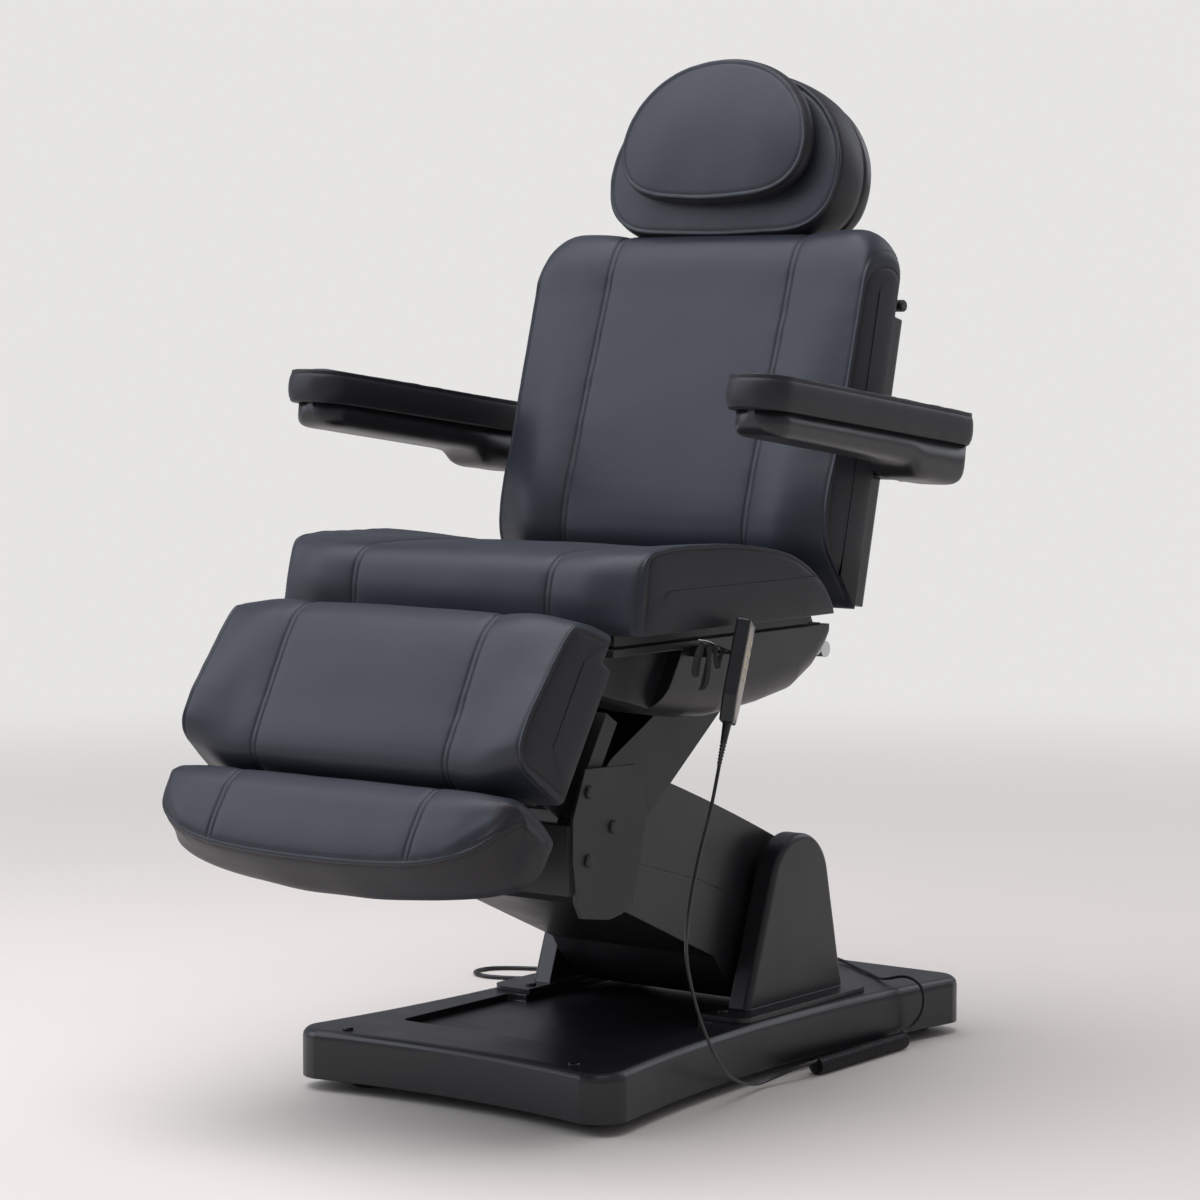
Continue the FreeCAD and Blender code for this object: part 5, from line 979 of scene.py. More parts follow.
def leg_cushion() -> BoxCushion:
    """The legrest: thick over its upper end, thinner towards the footrest."""
    return BoxCushion(
        name="leg_pad", body="legrest", node="leg_cushion", place=lying(LEG),
        edge_profile=((-225, 6), (-224, 20), (-222, 37), (-218, 67), (-213, 86), (-204, 99),
                      (-189, 109), (-152, 113), (-92, 107), (-40, 101), (-17, 96), (-4, 89),
                      (5, 77), (11, 62), (15, 46), (19, 24)),
        seam_profile=((-228, 6), (-234, 22), (-238, 48), (-233, 72), (-222, 87), (-201, 95),
                      (-140, 101), (-90, 106), (-48, 108), (-21, 106), (-8, 101), (3, 93), (11, 80),
                      (15, 62), (17, 42), (19, 24)),
        underside=((-24, 24), (-28, 6)), face_half=298.0, base_half=314.0, height=112.0,
        seam_side=170.0, bolster=lambda along: np.full(len(along), 3.5), crown=3.0, edge_reach=0.7,
        high_corner=12.0, low_corner=9.0, fill=0.9, seed=5.0)


def back_cushion() -> BoxCushion:
    """The backrest: its bolsters are fullest at the small of the back."""
    return BoxCushion(
        name="back_pad", body="backrest", node="back_cushion", place=standing(BACK),
        edge_profile=((13, 17), (22, 29), (43, 48), (67, 74), (92, 95), (127, 105), (171, 108),
                      (224, 103), (336, 99), (455, 96), (524, 92), (552, 82), (566, 64), (571, 46),
                      (570, 31), (562, 20), (548, 17)),
        seam_profile=((13, 17), (24, 40), (50, 78), (87, 109), (118, 116), (150, 117), (185, 115),
                      (260, 109), (329, 104), (458, 92), (528, 86), (554, 76), (567, 58), (571, 44),
                      (570, 31), (562, 20), (548, 17)),
        underside=(), face_half=300.0, base_half=315.0, height=112.0, seam_side=167.0,
        bolster=lambda along: 5.0 + 8.0 * np.exp(-((along - 130) / 110) ** 2), crown=2.0,
        high_corner=50.0, fill=0.85, seed=9.0)


# ---------------------------------------------------------------- footrest cushion

@dataclass
class FootPad:
    """The footrest's cushion: a straight upper edge, a bowed lower one, a rim seam round its face.

    Its folds are gathered at the corners of the rim. All sizes are in millimetres.
    """

    body: str = "footrest"
    node: str = "foot_cushion"
    top_edge: float = -249.0
    rim_outline: Sequence[Pair] = ((0, -374), (66, -373), (130, -370), (185, -364), (220, -356),
                                   (250, -345), (279, -326), (298, -303), (306, -286), (310, -272))
    base_outline: Sequence[Pair] = ((0, -389), (60, -388.5), (123, -384), (180, -378), (228, -370),
                                    (262, -361), (284, -352), (298, -344), (306, -334), (310, -320))
    rim_height: float = 99.0
    rim_fall: float = 13.0
    base_height: float = -20.0
    seam_side: float = 173.0
    crown: float = 8.0
    end_radius: float = 24.0
    end_bulge: float = 4.5
    end_depth: float = 8.0
    face_points: int = 53
    band_points: int = 49
    rear_points: int = 35
    gather_side: float = 268.0
    gather_height: float = 1.5
    gather_width: float = 30.0
    gather_reach: float = 26.0
    fold_size: float = 80.0
    fold_height: float = 1.2
    crease_size: float = 20.0
    crease_height: float = 0.9
    crease_reach: float = 14.0
    fill: float = 0.9

    @property
    def reach(self) -> float:
        """Half the pad's width."""
        return self.rim_outline[-1][0]

    def lower_edges(self, x: float) -> tuple[float, float, float]:
        """Where the rim and the base turn at a distance from the middle.

        Args:
            x: the distance in millimetres.

        Returns:
            The rim's place along the leg and its height, and the base's place.
        """
        rim, base = (smooth_through(line, 200) for line in (self.rim_outline, self.base_outline))
        away = min(abs(x), self.reach)
        fall = self.rim_fall * max((away - 235) / 73, 0.0) ** 1.5
        return (float(np.interp(away, rim[:, 0], rim[:, 1])), self.rim_height - fall,
                float(np.interp(away, base[:, 0], base[:, 1])))

    def ring(self, x: float) -> np.ndarray:
        """The closed profile at one place across the pad.

        Args:
            x: the place in millimetres.

        Returns:
            Places along the leg and heights: face from the upper edge to the rim, band, rear.
        """
        low, rim, base = self.lower_edges(x)
        width = self.top_edge - low
        lift = self.crown * min(width / 120.0, 1.0)
        top = self.top_edge
        face = ((top, rim - 27), (top - 3, rim - 10), (top - 0.1 * width - 4, rim - 2 + lift * 0.3),
                (top - 0.26 * width, rim + lift * 0.8), (top - 0.5 * width, rim + lift),
                (low + 0.3 * width, rim + lift * 0.95), (low + 0.12 * width, rim + lift * 0.6),
                (low, rim))
        lean, bottom = base - low, self.base_height
        band = ((low, rim), (low + lean * 0.16 - 2.5, rim - 13),
                (low + lean * 0.52 - 2.5, rim - 38), (base, 28), (base + 4, 6),
                (base + 13, bottom + 9), (base + 30, bottom))
        rear = ((base + 30, bottom), (top - 0.2 * width - 10, bottom + 1), (top - 8, 0),
                (top - 2, 32), (top, rim - 27))
        return np.vstack([smooth_through(line, count + 1)[:-1] for line, count in (
            (face, self.face_points), (band, self.band_points), (rear, self.rear_points))])

    def rounded_ring(self, x: float) -> np.ndarray:
        """The profile with the pad's ends rounded over.

        Args:
            x: the place across the pad in millimetres.

        Returns:
            Places along the leg and heights.
        """
        flat = self.ring(x)
        into = max(abs(x) - (self.reach - self.end_radius), 0.0)
        inward = self.end_radius - math.sqrt(self.end_radius ** 2 - into ** 2)
        return drawn_in(flat, spine_of(flat), inward) if inward > 0 else flat

    def sewn_ring(self, x: float) -> np.ndarray:
        """The profile with its seams, the folds gathered at its corners and its creases.

        Args:
            x: the place across the pad in millimetres.

        Returns:
            Points in metres in the row frame.
        """
        flat = self.rounded_ring(x)
        normal = normals_of(flat)
        index = np.arange(len(flat))
        on_face = np.clip(np.minimum(index - 2, self.face_points - index) / 5.0, 0, 1)
        run = run_along(flat)
        from_rim = run - run[self.face_points]
        rise = (-seam_depth(abs(x) - self.seam_side) * on_face
                + np.where(np.abs(from_rim) < 30, welt_height(from_rim), 0.0))
        corner = math.exp(-((abs(x) - self.gather_side) / self.gather_width) ** 2)
        folds = (self.gather_height * corner * np.sin(from_rim / 6.0 + abs(x) / 14)
                 * np.exp(-((from_rim + 2) / self.gather_reach) ** 2))
        flat = flat + normal * (rise + folds)[:, None]
        across = np.full(len(flat), x)
        placed = LEG.put(np.column_stack([across, flat]))
        way = LEG.put(np.column_stack([across, flat + normal])) - placed
        creases = (pucker(placed, self.crease_size, self.crease_height, 4.0)
                   * np.exp(-np.abs(from_rim) / self.crease_reach))
        lift = pucker(placed, self.fold_size, self.fold_height, 3.0) + creases
        return placed + way * lift[:, None]

    def end_rings(self, sign: int) -> list[np.ndarray]:
        """The rings that close one end.

        Args:
            sign: 1 for the left end, -1 for the right.

        Returns:
            Rings in metres in the row frame, from the end inwards.
        """
        flat = self.rounded_ring(self.reach)
        spine, deep = spine_of(flat), self.end_depth
        rings = []
        for distance, share in ((1.5, 0), (4, 0), (deep, 0), (deep, 0.3), (deep, 0.65),
                                (deep, 1.0)):
            out = self.end_bulge * (1 - (1 - min(distance / deep, 1) * 0.7 - share * 0.3) ** 2)
            shape = drawn_in(flat, spine, distance, share)
            rings.append(LEG.put(np.column_stack(
                [np.full(len(flat), sign * (self.reach + out)), shape])))
        return rings

    def stitch_rows(self, stations: Sequence[float],
                    rings: Sequence[np.ndarray]) -> list[np.ndarray]:
        """Where the stitches go: along both twin seams and on each side of the rim.

        Args:
            stations: the rings' places across the pad.
            rings: the rings there.

        Returns:
            The rows' points in metres.
        """
        rows = [rings[nearest(stations, sign * x)][4:self.face_points - 1]
                for sign in (-1, 1) for x in (self.seam_side - SEAM_ROW, self.seam_side + SEAM_ROW)]
        for offset in (-WELT_ROW, WELT_ROW):
            row = []
            for ring in rings:
                run = run_along(ring) / MM
                row.append(ring[int(np.argmin(np.abs(run - run[self.face_points] - offset)))])
            rows.append(np.array(row))
        return rows

    def build(self) -> bpy.types.Object:
        """Makes the pad and its stitches.

        Returns:
            The pad.
        """
        stations = on_both_sides({
            *seam_stations(self.seam_side),
            *np.linspace(self.seam_side + 26, self.reach - 26, 12),
            *(self.reach - d for d in (22, 18, 14, 11, 8.5, 6.5, 5, 3.8, 2.7, 1.8, 1, 0.4, 0))})
        rings = [self.sewn_ring(x) for x in stations]
        piece = skin("foot_pad", [*reversed(self.end_rings(-1)), *rings, *self.end_rings(1)],
                     (LEATHER, LEATHER_PAINTED_SHADE))
        # Faces below the rim take the leather that is painted darker as shade
        for polygon in piece.data.polygons:
            if self._below_rim(polygon.center):
                polygon.material_index = 1
        Stitching().sew("foot_pad_stitches", self.body, self.stitch_rows(stations, rings))
        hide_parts(self.node)
        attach(piece, self.body)
        log.info("foot pad: %d vertices", len(piece.data.vertices))
        return piece

    def _below_rim(self, point: Vector) -> bool:
        """Whether a point lies on the band or the underside.

        Args:
            point: in metres in the row frame.

        Returns:
            True below the rim.
        """
        angle = math.radians(-LEG.turn)
        y, z = point.y / MM - LEG.y, point.z / MM - LEG.z
        along = y * math.cos(angle) - z * math.sin(angle)
        height = y * math.sin(angle) + z * math.cos(angle)
        return height < self.rim_height - 3 and along < self.top_edge - 12


# ---------------------------------------------------------------- rimmed pads: headrest, armrests

# Distances from the rim at which rings lie: down the band, and in over the face
BAND_DROPS = (11, 8, 6.4, WELT_ROW, 4.2, 3.2, 2.2, 1.2)
FACE_STEPS = (1.0, 2.0, 3.0, 4.0, WELT_ROW, 6.4, 8.0, 11.0, 15.0, 21.0)


@dataclass
class RimmedPad:
    """A pad with one outline, a band round it and a domed face, sewn together along a rim.

    The outline is in the pad's own plane and depths run from its rear to its face, in millimetres.
    A sagging pad's band hangs slack near its rear.
    """

    name: str
    body: str
    node: str
    outline: Sequence[Pair]
    place: Placing
    rear: float
    rim: float
    dome: float
    band_bulge: float
    count: int = 200
    fill: float = 0.85
    dome_power: float = 2.0
    rear_rounding: float = 8.0
    seed: float = 0.0
    sagging: float = 0.0
    rim_inset: float = 1.4
    dome_reach: float = 60.0
    fold_size: float = 70.0
    fold_height: float = 1.0
    crease_size: float = 22.0
    slack_size: float = 60.0
    slack_height: float = 1.6
    slack_share: float = 0.3

    def steps(self) -> tuple[list[tuple[float, float, float]], int]:
        """The rings from the middle of the rear over the band to the middle of the face.

        Returns:
            Each ring's height, how far it is drawn in and how much of the rest of the way it is
            drawn in then; and the number of the rim's ring.
        """
        turned = self.rear_rounding
        rings = [(self.rear, turned, share) for share in (1.0, 0.75, 0.5, 0.25)]
        rings += [(self.rear + turned * (1 - math.cos(turn)), turned * (1 - math.sin(turn)), 0.0)
                  for turn in np.linspace(0, math.pi / 2, 6)]
        for height in (*np.linspace(self.rear + turned, self.rim - 14, 9)[1:],
                       *(self.rim - drop for drop in BAND_DROPS)):
            share = (height - self.rear) / (self.rim - self.rear)
            swell = self.band_bulge * math.sin(math.pi * share) ** 0.8
            welt = float(welt_height(self.rim - height))
            rings.append((height, -swell - welt + self.rim_inset * share ** 6, 0.0))
        rim_index = len(rings)
        rings.append((self.rim + 0.4, 0.4, 0.0))
        for distance in FACE_STEPS:
            height = self.rim + float(welt_height(distance)) + self._dome(distance)
            rings.append((height, self.rim_inset + distance, 0.0))
        inner = FACE_STEPS[-1]
        rings += [(self.rim + self._dome(inner, share), self.rim_inset + inner, share)
                  for share in PANEL_SHARES]
        return rings, rim_index

    def build(self) -> bpy.types.Object:
        """Makes the pad and its stitches.

        Returns:
            The pad.
        """
        outline = smooth_through(self.outline, self.count, closed=True)
        spine = spine_of(outline)
        slack_below = self.rear + (self.rim - self.rear) * self.slack_share
        steps, rim_index = self.steps()
        rings = []
        for k, (height, distance, share) in enumerate(steps):
            flat = drawn_in(outline, spine, max(distance, 0.0), share)
            if distance < 0:
                flat = outline + normals_of(outline) * -distance
            placed = self.place(np.column_stack([flat, np.full(len(flat), height)]))
            near = math.exp(-abs(k - rim_index) / 5)
            lift = (pucker(placed, self.fold_size, self.fold_height, self.seed)
                    + pucker(placed, self.crease_size, self.fold_height * near, self.seed + 2))
            if self.sagging and height < slack_below:
                slack = pucker(placed, self.slack_size, self.slack_height, self.seed + 5)
                lift = lift - self.sagging * np.abs(slack)
            rings.append(placed + self._lifted(outline, lift, k >= rim_index))
        # The band takes the leather that is painted darker as shade
        piece = skin(self.name, rings, (LEATHER, LEATHER_PAINTED_SHADE),
                     lambda band: 0 if band >= rim_index else 1)
        rows = [rings[rim_index - len(BAND_DROPS) + BAND_DROPS.index(WELT_ROW)],
                rings[rim_index + 1 + FACE_STEPS.index(WELT_ROW)]]
        Stitching().sew(self.name + "_stitches", self.body, rows, closed=True)
        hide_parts(self.node)
        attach(piece, self.body)
        log.info("%s: %d vertices", self.name, len(piece.data.vertices))
        return piece

    def _dome(self, distance: float, share: float = 0.0) -> float:
        """How far the face stands above the rim, for a place drawn in from the rim.

        Args:
            distance: how far it is drawn in.
            share: how much of the rest of the way it is drawn in then.

        Returns:
            The height in millimetres.
        """
        near = min(distance / self.dome_reach, 1.0) * 0.6
        return self.dome * (1 - (1 - (near + share * (1 - near))) ** self.dome_power)

    def _lifted(self, outline: np.ndarray, lift: np.ndarray, on_face: bool) -> np.ndarray:
        """Moves that raise the surface: outwards on the band, along the depth on the face.

        Args:
            outline: the pad's outline.
            lift: how far each point rises, in millimetres.
            on_face: whether the ring lies on the face.

        Returns:
            The moves in metres in the row frame.
        """
        flat = np.column_stack([outline, np.zeros(len(outline))])
        ahead = np.column_stack([outline, np.ones(len(outline))])
        if not on_face:
            ahead = np.column_stack([outline + normals_of(outline), flat[:, 2]])
        return (self.place(ahead) - self.place(flat)) * lift[:, None]


def rounded_strip(x0: float, x1: float, y0: float, y1: float, radius: float) -> list[Pair]:
    """A rounded rectangle.

    Args:
        x0: its low side.
        x1: its high side.
        y0: its front end.
        y1: its rear end.
        radius: of its corners.

    Returns:
        Points of the closed outline.
    """
    points = []
    corners = ((x1 - radius, y0 + radius, -90), (x1 - radius, y1 - radius, 0),
               (x0 + radius, y1 - radius, 90), (x0 + radius, y0 + radius, 180))
    for cx, cy, start in corners:
        for k in range(7):
            angle = math.radians(start + 15 * k)
            points.append((cx + radius * math.cos(angle), cy + radius * math.sin(angle)))
    return points


@dataclass
class Headrest:
    """The headrest's block, the pillow on it and the shell behind it, in millimetres.

    Half outlines run from the bottom to the top.
    """

    block: Sequence[Pair] = ((0, 567), (80, 569), (130, 571.5), (160, 578), (184, 592), (200, 612),
                             (208, 637), (210, 668), (204, 703), (189, 735), (163, 768), (128, 794),
                             (84, 813), (40, 822), (0, 825))
    pillow: Sequence[Pair] = ((0, 613), (50, 615), (97, 620), (128, 630), (149, 645), (162, 664),
                              (168, 690), (166, 716), (157, 744), (141, 770), (116, 795), (82, 815),
                              (42, 827), (0, 831))
    block_depth: float = 70.0
    pillow_rear: float = 73.3
    pillow_rim: float = 104.0
    shell_front: float = 8.0
    shell_step: float = 14.0
    shell_side: float = 22.0
    shell_inset: float = 1.5
    shell_rounding: float = 16.0
    shell_crown: float = 3.0

    @staticmethod
    def both_sides(half: Sequence[Pair]) -> list[Pair]:
        """A closed outline from its right half."""
        return [*half, *[(-x, z) for x, z in reversed(half[1:-1])]]

    def shell(self) -> None:
        """The moulded shell behind the block: the block's outline, rounded over at the rear."""
        outline = smooth_through(self.both_sides(self.block), 160, closed=True)
        spine = spine_of(outline)
        inset, rounding = self.shell_inset, self.shell_rounding
        side = self.shell_side
        steps = [*((self.shell_front, 2 * inset, share) for share in (1.0, 0.5, 0.0)),
                 (self.shell_step, inset, 0.0),
                 *((side + rounding * math.sin(a), inset + rounding * (1 - math.cos(a)), 0.0)
                   for a in np.linspace(0, math.pi / 2, 9)),
                 *((side + rounding + self.shell_crown * share, inset + rounding, share)
                   for share in (0.2, 0.45, 0.7, 1.0))]
        rings = []
        for depth, inward, share in steps:
            flat = drawn_in(outline, spine, inward, share)
            rings.append(standing(BACK)(np.column_stack([flat, np.full(len(flat), -depth)])))
        piece = skin("headrest_shell", rings, (MOULDED_COVER,))
        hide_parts("head_shell")
        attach(piece, "headrest")

    def build(self) -> None:
        """Makes both pads, the shell and the pillow's short band seam."""
        RimmedPad("head_block_pad", "headrest", "head_block", self.both_sides(self.block),
                  standing(BACK), rear=-12.0, rim=self.block_depth - 4, dome=6.5, band_bulge=5.0,
                  rear_rounding=14.0, seed=11.0).build()
        bulge = 4.0
        RimmedPad("head_pillow_pad", "headrest", "head_pillow", self.both_sides(self.pillow),
                  standing(BACK), rear=self.pillow_rear, rim=self.pillow_rim, dome=11.0,
                  band_bulge=bulge, rear_rounding=12.0, seed=14.0, fill=0.95).build()
        self.shell()
        heights = np.linspace(self.pillow_rear + 10, self.pillow_rim - 2, 12)
        share = (heights - self.pillow_rear) / (self.pillow_rim - self.pillow_rear)
        fall = self.pillow[0][1] - 1.6 - (bulge + 0.5) * np.sin(math.pi * share) ** 0.8
        row = BACK.put(np.column_stack([np.zeros(len(heights)), -heights, fall]))
        Stitching().sew("pillow_band_stitches", "headrest", [row])


@dataclass
class Armrests:
    """The two armrests: pads, moulded trays and the bosses on their pivots, in millimetres."""

    inner: float = 346.0
    width: float = 100.0
    front: float = -497.0
    rear: float = 50.0
    bottom: float = 40.0
    height: float = 52.0
    radius: float = 42.0
    tray_bottom: Sequence[Pair] = ((-478, 38), (-478, 26), (-475, 15), (-468, 9), (-454, 5),
                                   (-410, 4), (-300, 3), (-200, 2), (-145, 1), (-122, -2),
                                   (-110, -9), (-101, -16), (-86, -20), (-50, -20), (-5, -20),
                                   (13, -18), (22, -11), (26, 2), (26, 20), (26, 38))
    tray_half: float = 42.0
    tray_turn: float = 36.0
    tray_top: float = 40.0
    side_power: float = 0.4
    floor_power: float = 0.35
    pivot_side: float = 339.0
    boss_profile: Sequence[Pair] = ((0, 15.5), (1.5, 17), (18, 17))

    def tray(self, side: int, name: str) -> None:
        """The moulded tray under one pad: a rounded trough that deepens round the pivot.

        Args:
            side: 1 for the left, -1 for the right.
            name: that side's word.
        """
        middle = side * (self.inner + self.width / 2)
        front, rear = self.tray_bottom[0][0], self.tray_bottom[-1][0]
        turns = np.linspace(0, math.pi, 25)
        across = np.sign(np.cos(turns)) * np.abs(np.cos(turns)) ** self.side_power
        down = np.abs(np.sin(turns)) ** self.floor_power
        rings = []
        for y, low in smooth_through(self.tray_bottom, 110):
            inset = 0.0
            for radius, into in ((self.tray_turn, y - front), (self.tray_turn / 3, rear - y)):
                short = min(max(radius - into, 0.0), radius)
                inset += radius - math.sqrt(radius ** 2 - short ** 2)
            half = self.tray_half - inset
            lid = np.linspace(-half, half, 9)[1:-1]
            x = np.concatenate([across * half, lid])
            z = self.tray_top - np.concatenate([down * (self.tray_top - low), np.zeros(len(lid))])
            rings.append(ARM.put(np.column_stack([x + middle, np.full(len(x), y), z])))
        piece = skin(f"arm_tray_{name}", capped(rings), (MOULDED_COVER,))
        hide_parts(f"arm_base_{name}")
        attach(piece, f"armrest_{name}")
        start = tuple(ARM.put(np.array([[side * self.pivot_side, 0.0, 0.0]]))[0])
        boss = lathe(f"arm_pivot_boss_{name}", self.boss_profile, start, (side, 0, 0),
                     MOULDED_COVER)
        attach(boss, f"armrest_{name}")

    def build(self) -> None:
        """Makes the left and the right pad and tray."""
        for side, name in ((1, "left"), (-1, "right")):
            low, high = sorted((side * self.inner, side * (self.inner + self.width)))
            inset = 1.5
            outline = rounded_strip(low + inset, high - inset, self.front + inset,
                                    self.rear - inset, self.radius)
            RimmedPad(f"arm_pad_{name}_cover", f"armrest_{name}", f"arm_pad_{name}", outline,
                      ARM.put, rear=self.bottom, rim=self.bottom + self.height - 5, dome=5.5,
                      band_bulge=3.0, rear_rounding=5.0, seed=20.0 + side, sagging=0.7,
                      count=260).build()
            self.tray(side, name)


# ---------------------------------------------------------------- cords

class Lay(Enum):
    """How a cord lies."""

    HANGING = "hanging"
    LOOSE = "loose"


@dataclass
class Cords:
    """The handset's cord, in two lengths, and the mains cord with its put-away coil and plug.

    Routes are in millimetres, drawn from the middle of the base.
    """

    handset_drop: Sequence[Triple] = (
        (348, -312.9, 529.4), (348, -321, 505), (348, -333, 468), (349.5, -349, 430),
        (350.5, -370, 390), (351, -388, 345), (351, -401, 300), (349, -404, 250), (344, -384, 200),
        (335, -345, 140), (318, -290, 88), (300, -235, 50), (285, -180, 26), (272, -125, 11),
        (268, -95, 9), (272, -60, 13.5), (284, -20, 22.5), (287, 11.5, 24))
    handset_tail: Sequence[Triple] = (
        (275, 273.3, 24), (276.5, 291, 27), (290, 301, 46), (297, 300, 74), (289, 298, 98),
        (262, 297, 106), (232, 301, 97), (207, 316, 91.5), (180, 338, 90.8), (144, 362, 91.2),
        (103, 393, 91), (72, 411, 92.5), (44, 414, 96), (26, 412, 97), (6, 412, 97))
    mains_run: Sequence[Triple] = (
        (-120, 471, 46), (-120.5, 496, 43.5), (-128, 527, 24), (-152, 550, 5.5), (-202, 552, 3.8),
        (-278, 532, 3.8), (-360, 505, 3.8), (-436, 490, 3.8), (-500, 470, 3.8), (-557, 442, 3.8),
        (-605, 417, 3.8), (-632, 389, 3.8), (-631, 352, 3.8), (-600, 331, 3.8), (-562, 336, 3.8),
        (-500, 369, 3.8), (-435, 405, 3.8), (-365, 438, 3.8), (-290, 461, 3.8), (-215, 472, 3.8),
        (-145, 476, 3.8), (-80, 473, 3.8), (-20, 473.6, 3.8), (25, 474, 3.8), (53, 474, 3.8))
    curl_axis: Pair = (281.0, 13.2)
    curl_start: float = 22.4
    curl_radius: float = 10.8
    curl_pitch: float = 6.0
    curl_turns: int = 40
    curl_wire: float = 4.4
    handset_diameter: float = 5.0
    mains_diameter: float = 7.0
    coil_middle: Pair = (60.0, 528.0)
    coil_pitch: float = 7.8
    coil_radius: float = 54.0
    coil_end: Triple = (122.0, 470.1, 11.6)
    plug_lead: float = 30.0
    floor_height: float = 3.8
    coil_stages: Sequence[tuple[int, float, float]] = (
        (12, -3, 0), (2, -0.5, 1), (2, 1, 0), (12, 3, 0))

    @staticmethod
    def row(points: Sequence[Triple]) -> list[Vector]:
        """Route points in metres in the row frame."""
        return [Vector(p) * MM for p in np.array(points, float) + (0, FLOOR.y, 0)]

    @staticmethod
    def curve(name: str, points: Sequence[Vector], radius: float,
              widths: Sequence[float] | None = None) -> bpy.types.Object:
        """A NURBS cord through its route.

        Args:
            name: the new piece's name.
            points: its control points in metres.
            radius: the cord's radius in metres; 0 gives a bare line.
            widths: the radius at each point, as a share of that.

        Returns:
            The curve object.
        """
        data = bpy.data.curves.new(name, "CURVE")
        data.dimensions = "3D"
        data.resolution_u = 6
        data.bevel_depth = radius
        data.bevel_resolution = 4
        data.use_fill_caps = radius > 0
        spline = data.splines.new("NURBS")
        spline.points.add(len(points) - 1)
        for k, (point, place) in enumerate(zip(spline.points, points)):
            point.co = (*place, 1.0)
            point.radius = widths[k] if widths else 1.0
        spline.order_u = 3
        spline.use_endpoint_u = True
        data.materials.append(CORD_SHEATH.material())
        return linked(name, data)

    def hang_drop(self) -> bpy.types.Object:
        """The length that hangs from the handset, as a tube.

        Returns:
            The tube.
        """
        points = self.row(self.handset_drop)
        line = evaluated_mesh(self.curve("drop_line", points, 0.0), "drop_line")
        tube = self.curve("drop_tube", points, self.handset_diameter / 2 * MM)
        mesh = evaluated_mesh(tube, "handset_cord_upper")
        mesh.polygons.foreach_set("use_smooth", [True] * len(mesh.polygons))
        piece = linked("handset_cord_upper", mesh)
        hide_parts("handset_cord_drop")
        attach(piece, "base")
        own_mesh(piece)
        return piece

    def curl_points(self) -> list[Triple]:
        """The helix of the curly length, twelve points to a turn, with its two straight ends.

        Returns:
            Route points in millimetres.
        """
        points: list[Triple] = [self.handset_drop[-1], (286, 16.2, 24)]
        for k in range(self.curl_turns * 12 + 1):
            angle = math.pi / 2 + k * math.pi / 6
            points.append((self.curl_axis[0] + self.curl_radius * math.cos(angle),
                           self.curl_start + self.curl_pitch * k / 12,
                           self.curl_axis[1] + self.curl_radius * math.sin(angle)))
        return points + [(276, 268.6, 24)]

    def lay_curls(self) -> bpy.types.Object:
        """The curly length on the floor and the tail that goes over the base to its gland.

        Returns:
            The cord.
        """
        curls = self.curl_points()
        points = self.row([*curls, *self.handset_tail])
        wire = self.curl_wire / self.handset_diameter
        widths = [wire] * len(curls) + [1.0] * len(self.handset_tail)
        piece = self.curve("handset_cord_lower", points, self.handset_diameter / 2 * MM, widths)
        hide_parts("handset_cord_curl", "handset_cord_tail")
        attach(piece, "base")
        return piece

    def coil_points(self) -> list[Triple]:
        """The put-away coil: quarter turns that go inwards, and out again on top.

        Returns:
            Route points in millimetres.
        """
        outward, up, quarter = 0.0, 0.0, 0
        points: list[Triple] = []
        for quarters, out, rise in self.coil_stages:
            for k in range(1, quarters * 3 + 1):
                share = k / (quarters * 3)
                angle = math.radians(-90 + (quarter + k / 3) * 90)
                radius = self.coil_radius + (outward + out * share) * self.coil_pitch
                points.append((self.coil_middle[0] + radius * math.cos(angle),
                               self.coil_middle[1] + radius * math.sin(angle),
                               self.floor_height + (up + rise * share) * self.coil_pitch))
            quarter += quarters
            outward += out
            up += rise
        return points

    def lay_mains(self) -> bpy.types.Object:
        """The mains cord from its gland round to its coil and plug.

        Returns:
            The cord.
        """
        lead = (self.coil_end[0] - self.plug_lead, *self.coil_end[1:])
        points = self.row([*self.mains_run, *self.coil_points(), lead, self.coil_end])
        piece = self.curve("mains_cord", points, self.mains_diameter / 2 * MM)
        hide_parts("mains_cord_run", "mains_cord_coil")
        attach(piece, "base")
        return piece

    def build(self) -> None:
        """Makes the three cords."""
        for piece in (self.hang_drop(), self.lay_curls(), self.lay_mains()):
            log.info("cord: %s", piece.name)


# ---------------------------------------------------------------- small fitted pieces

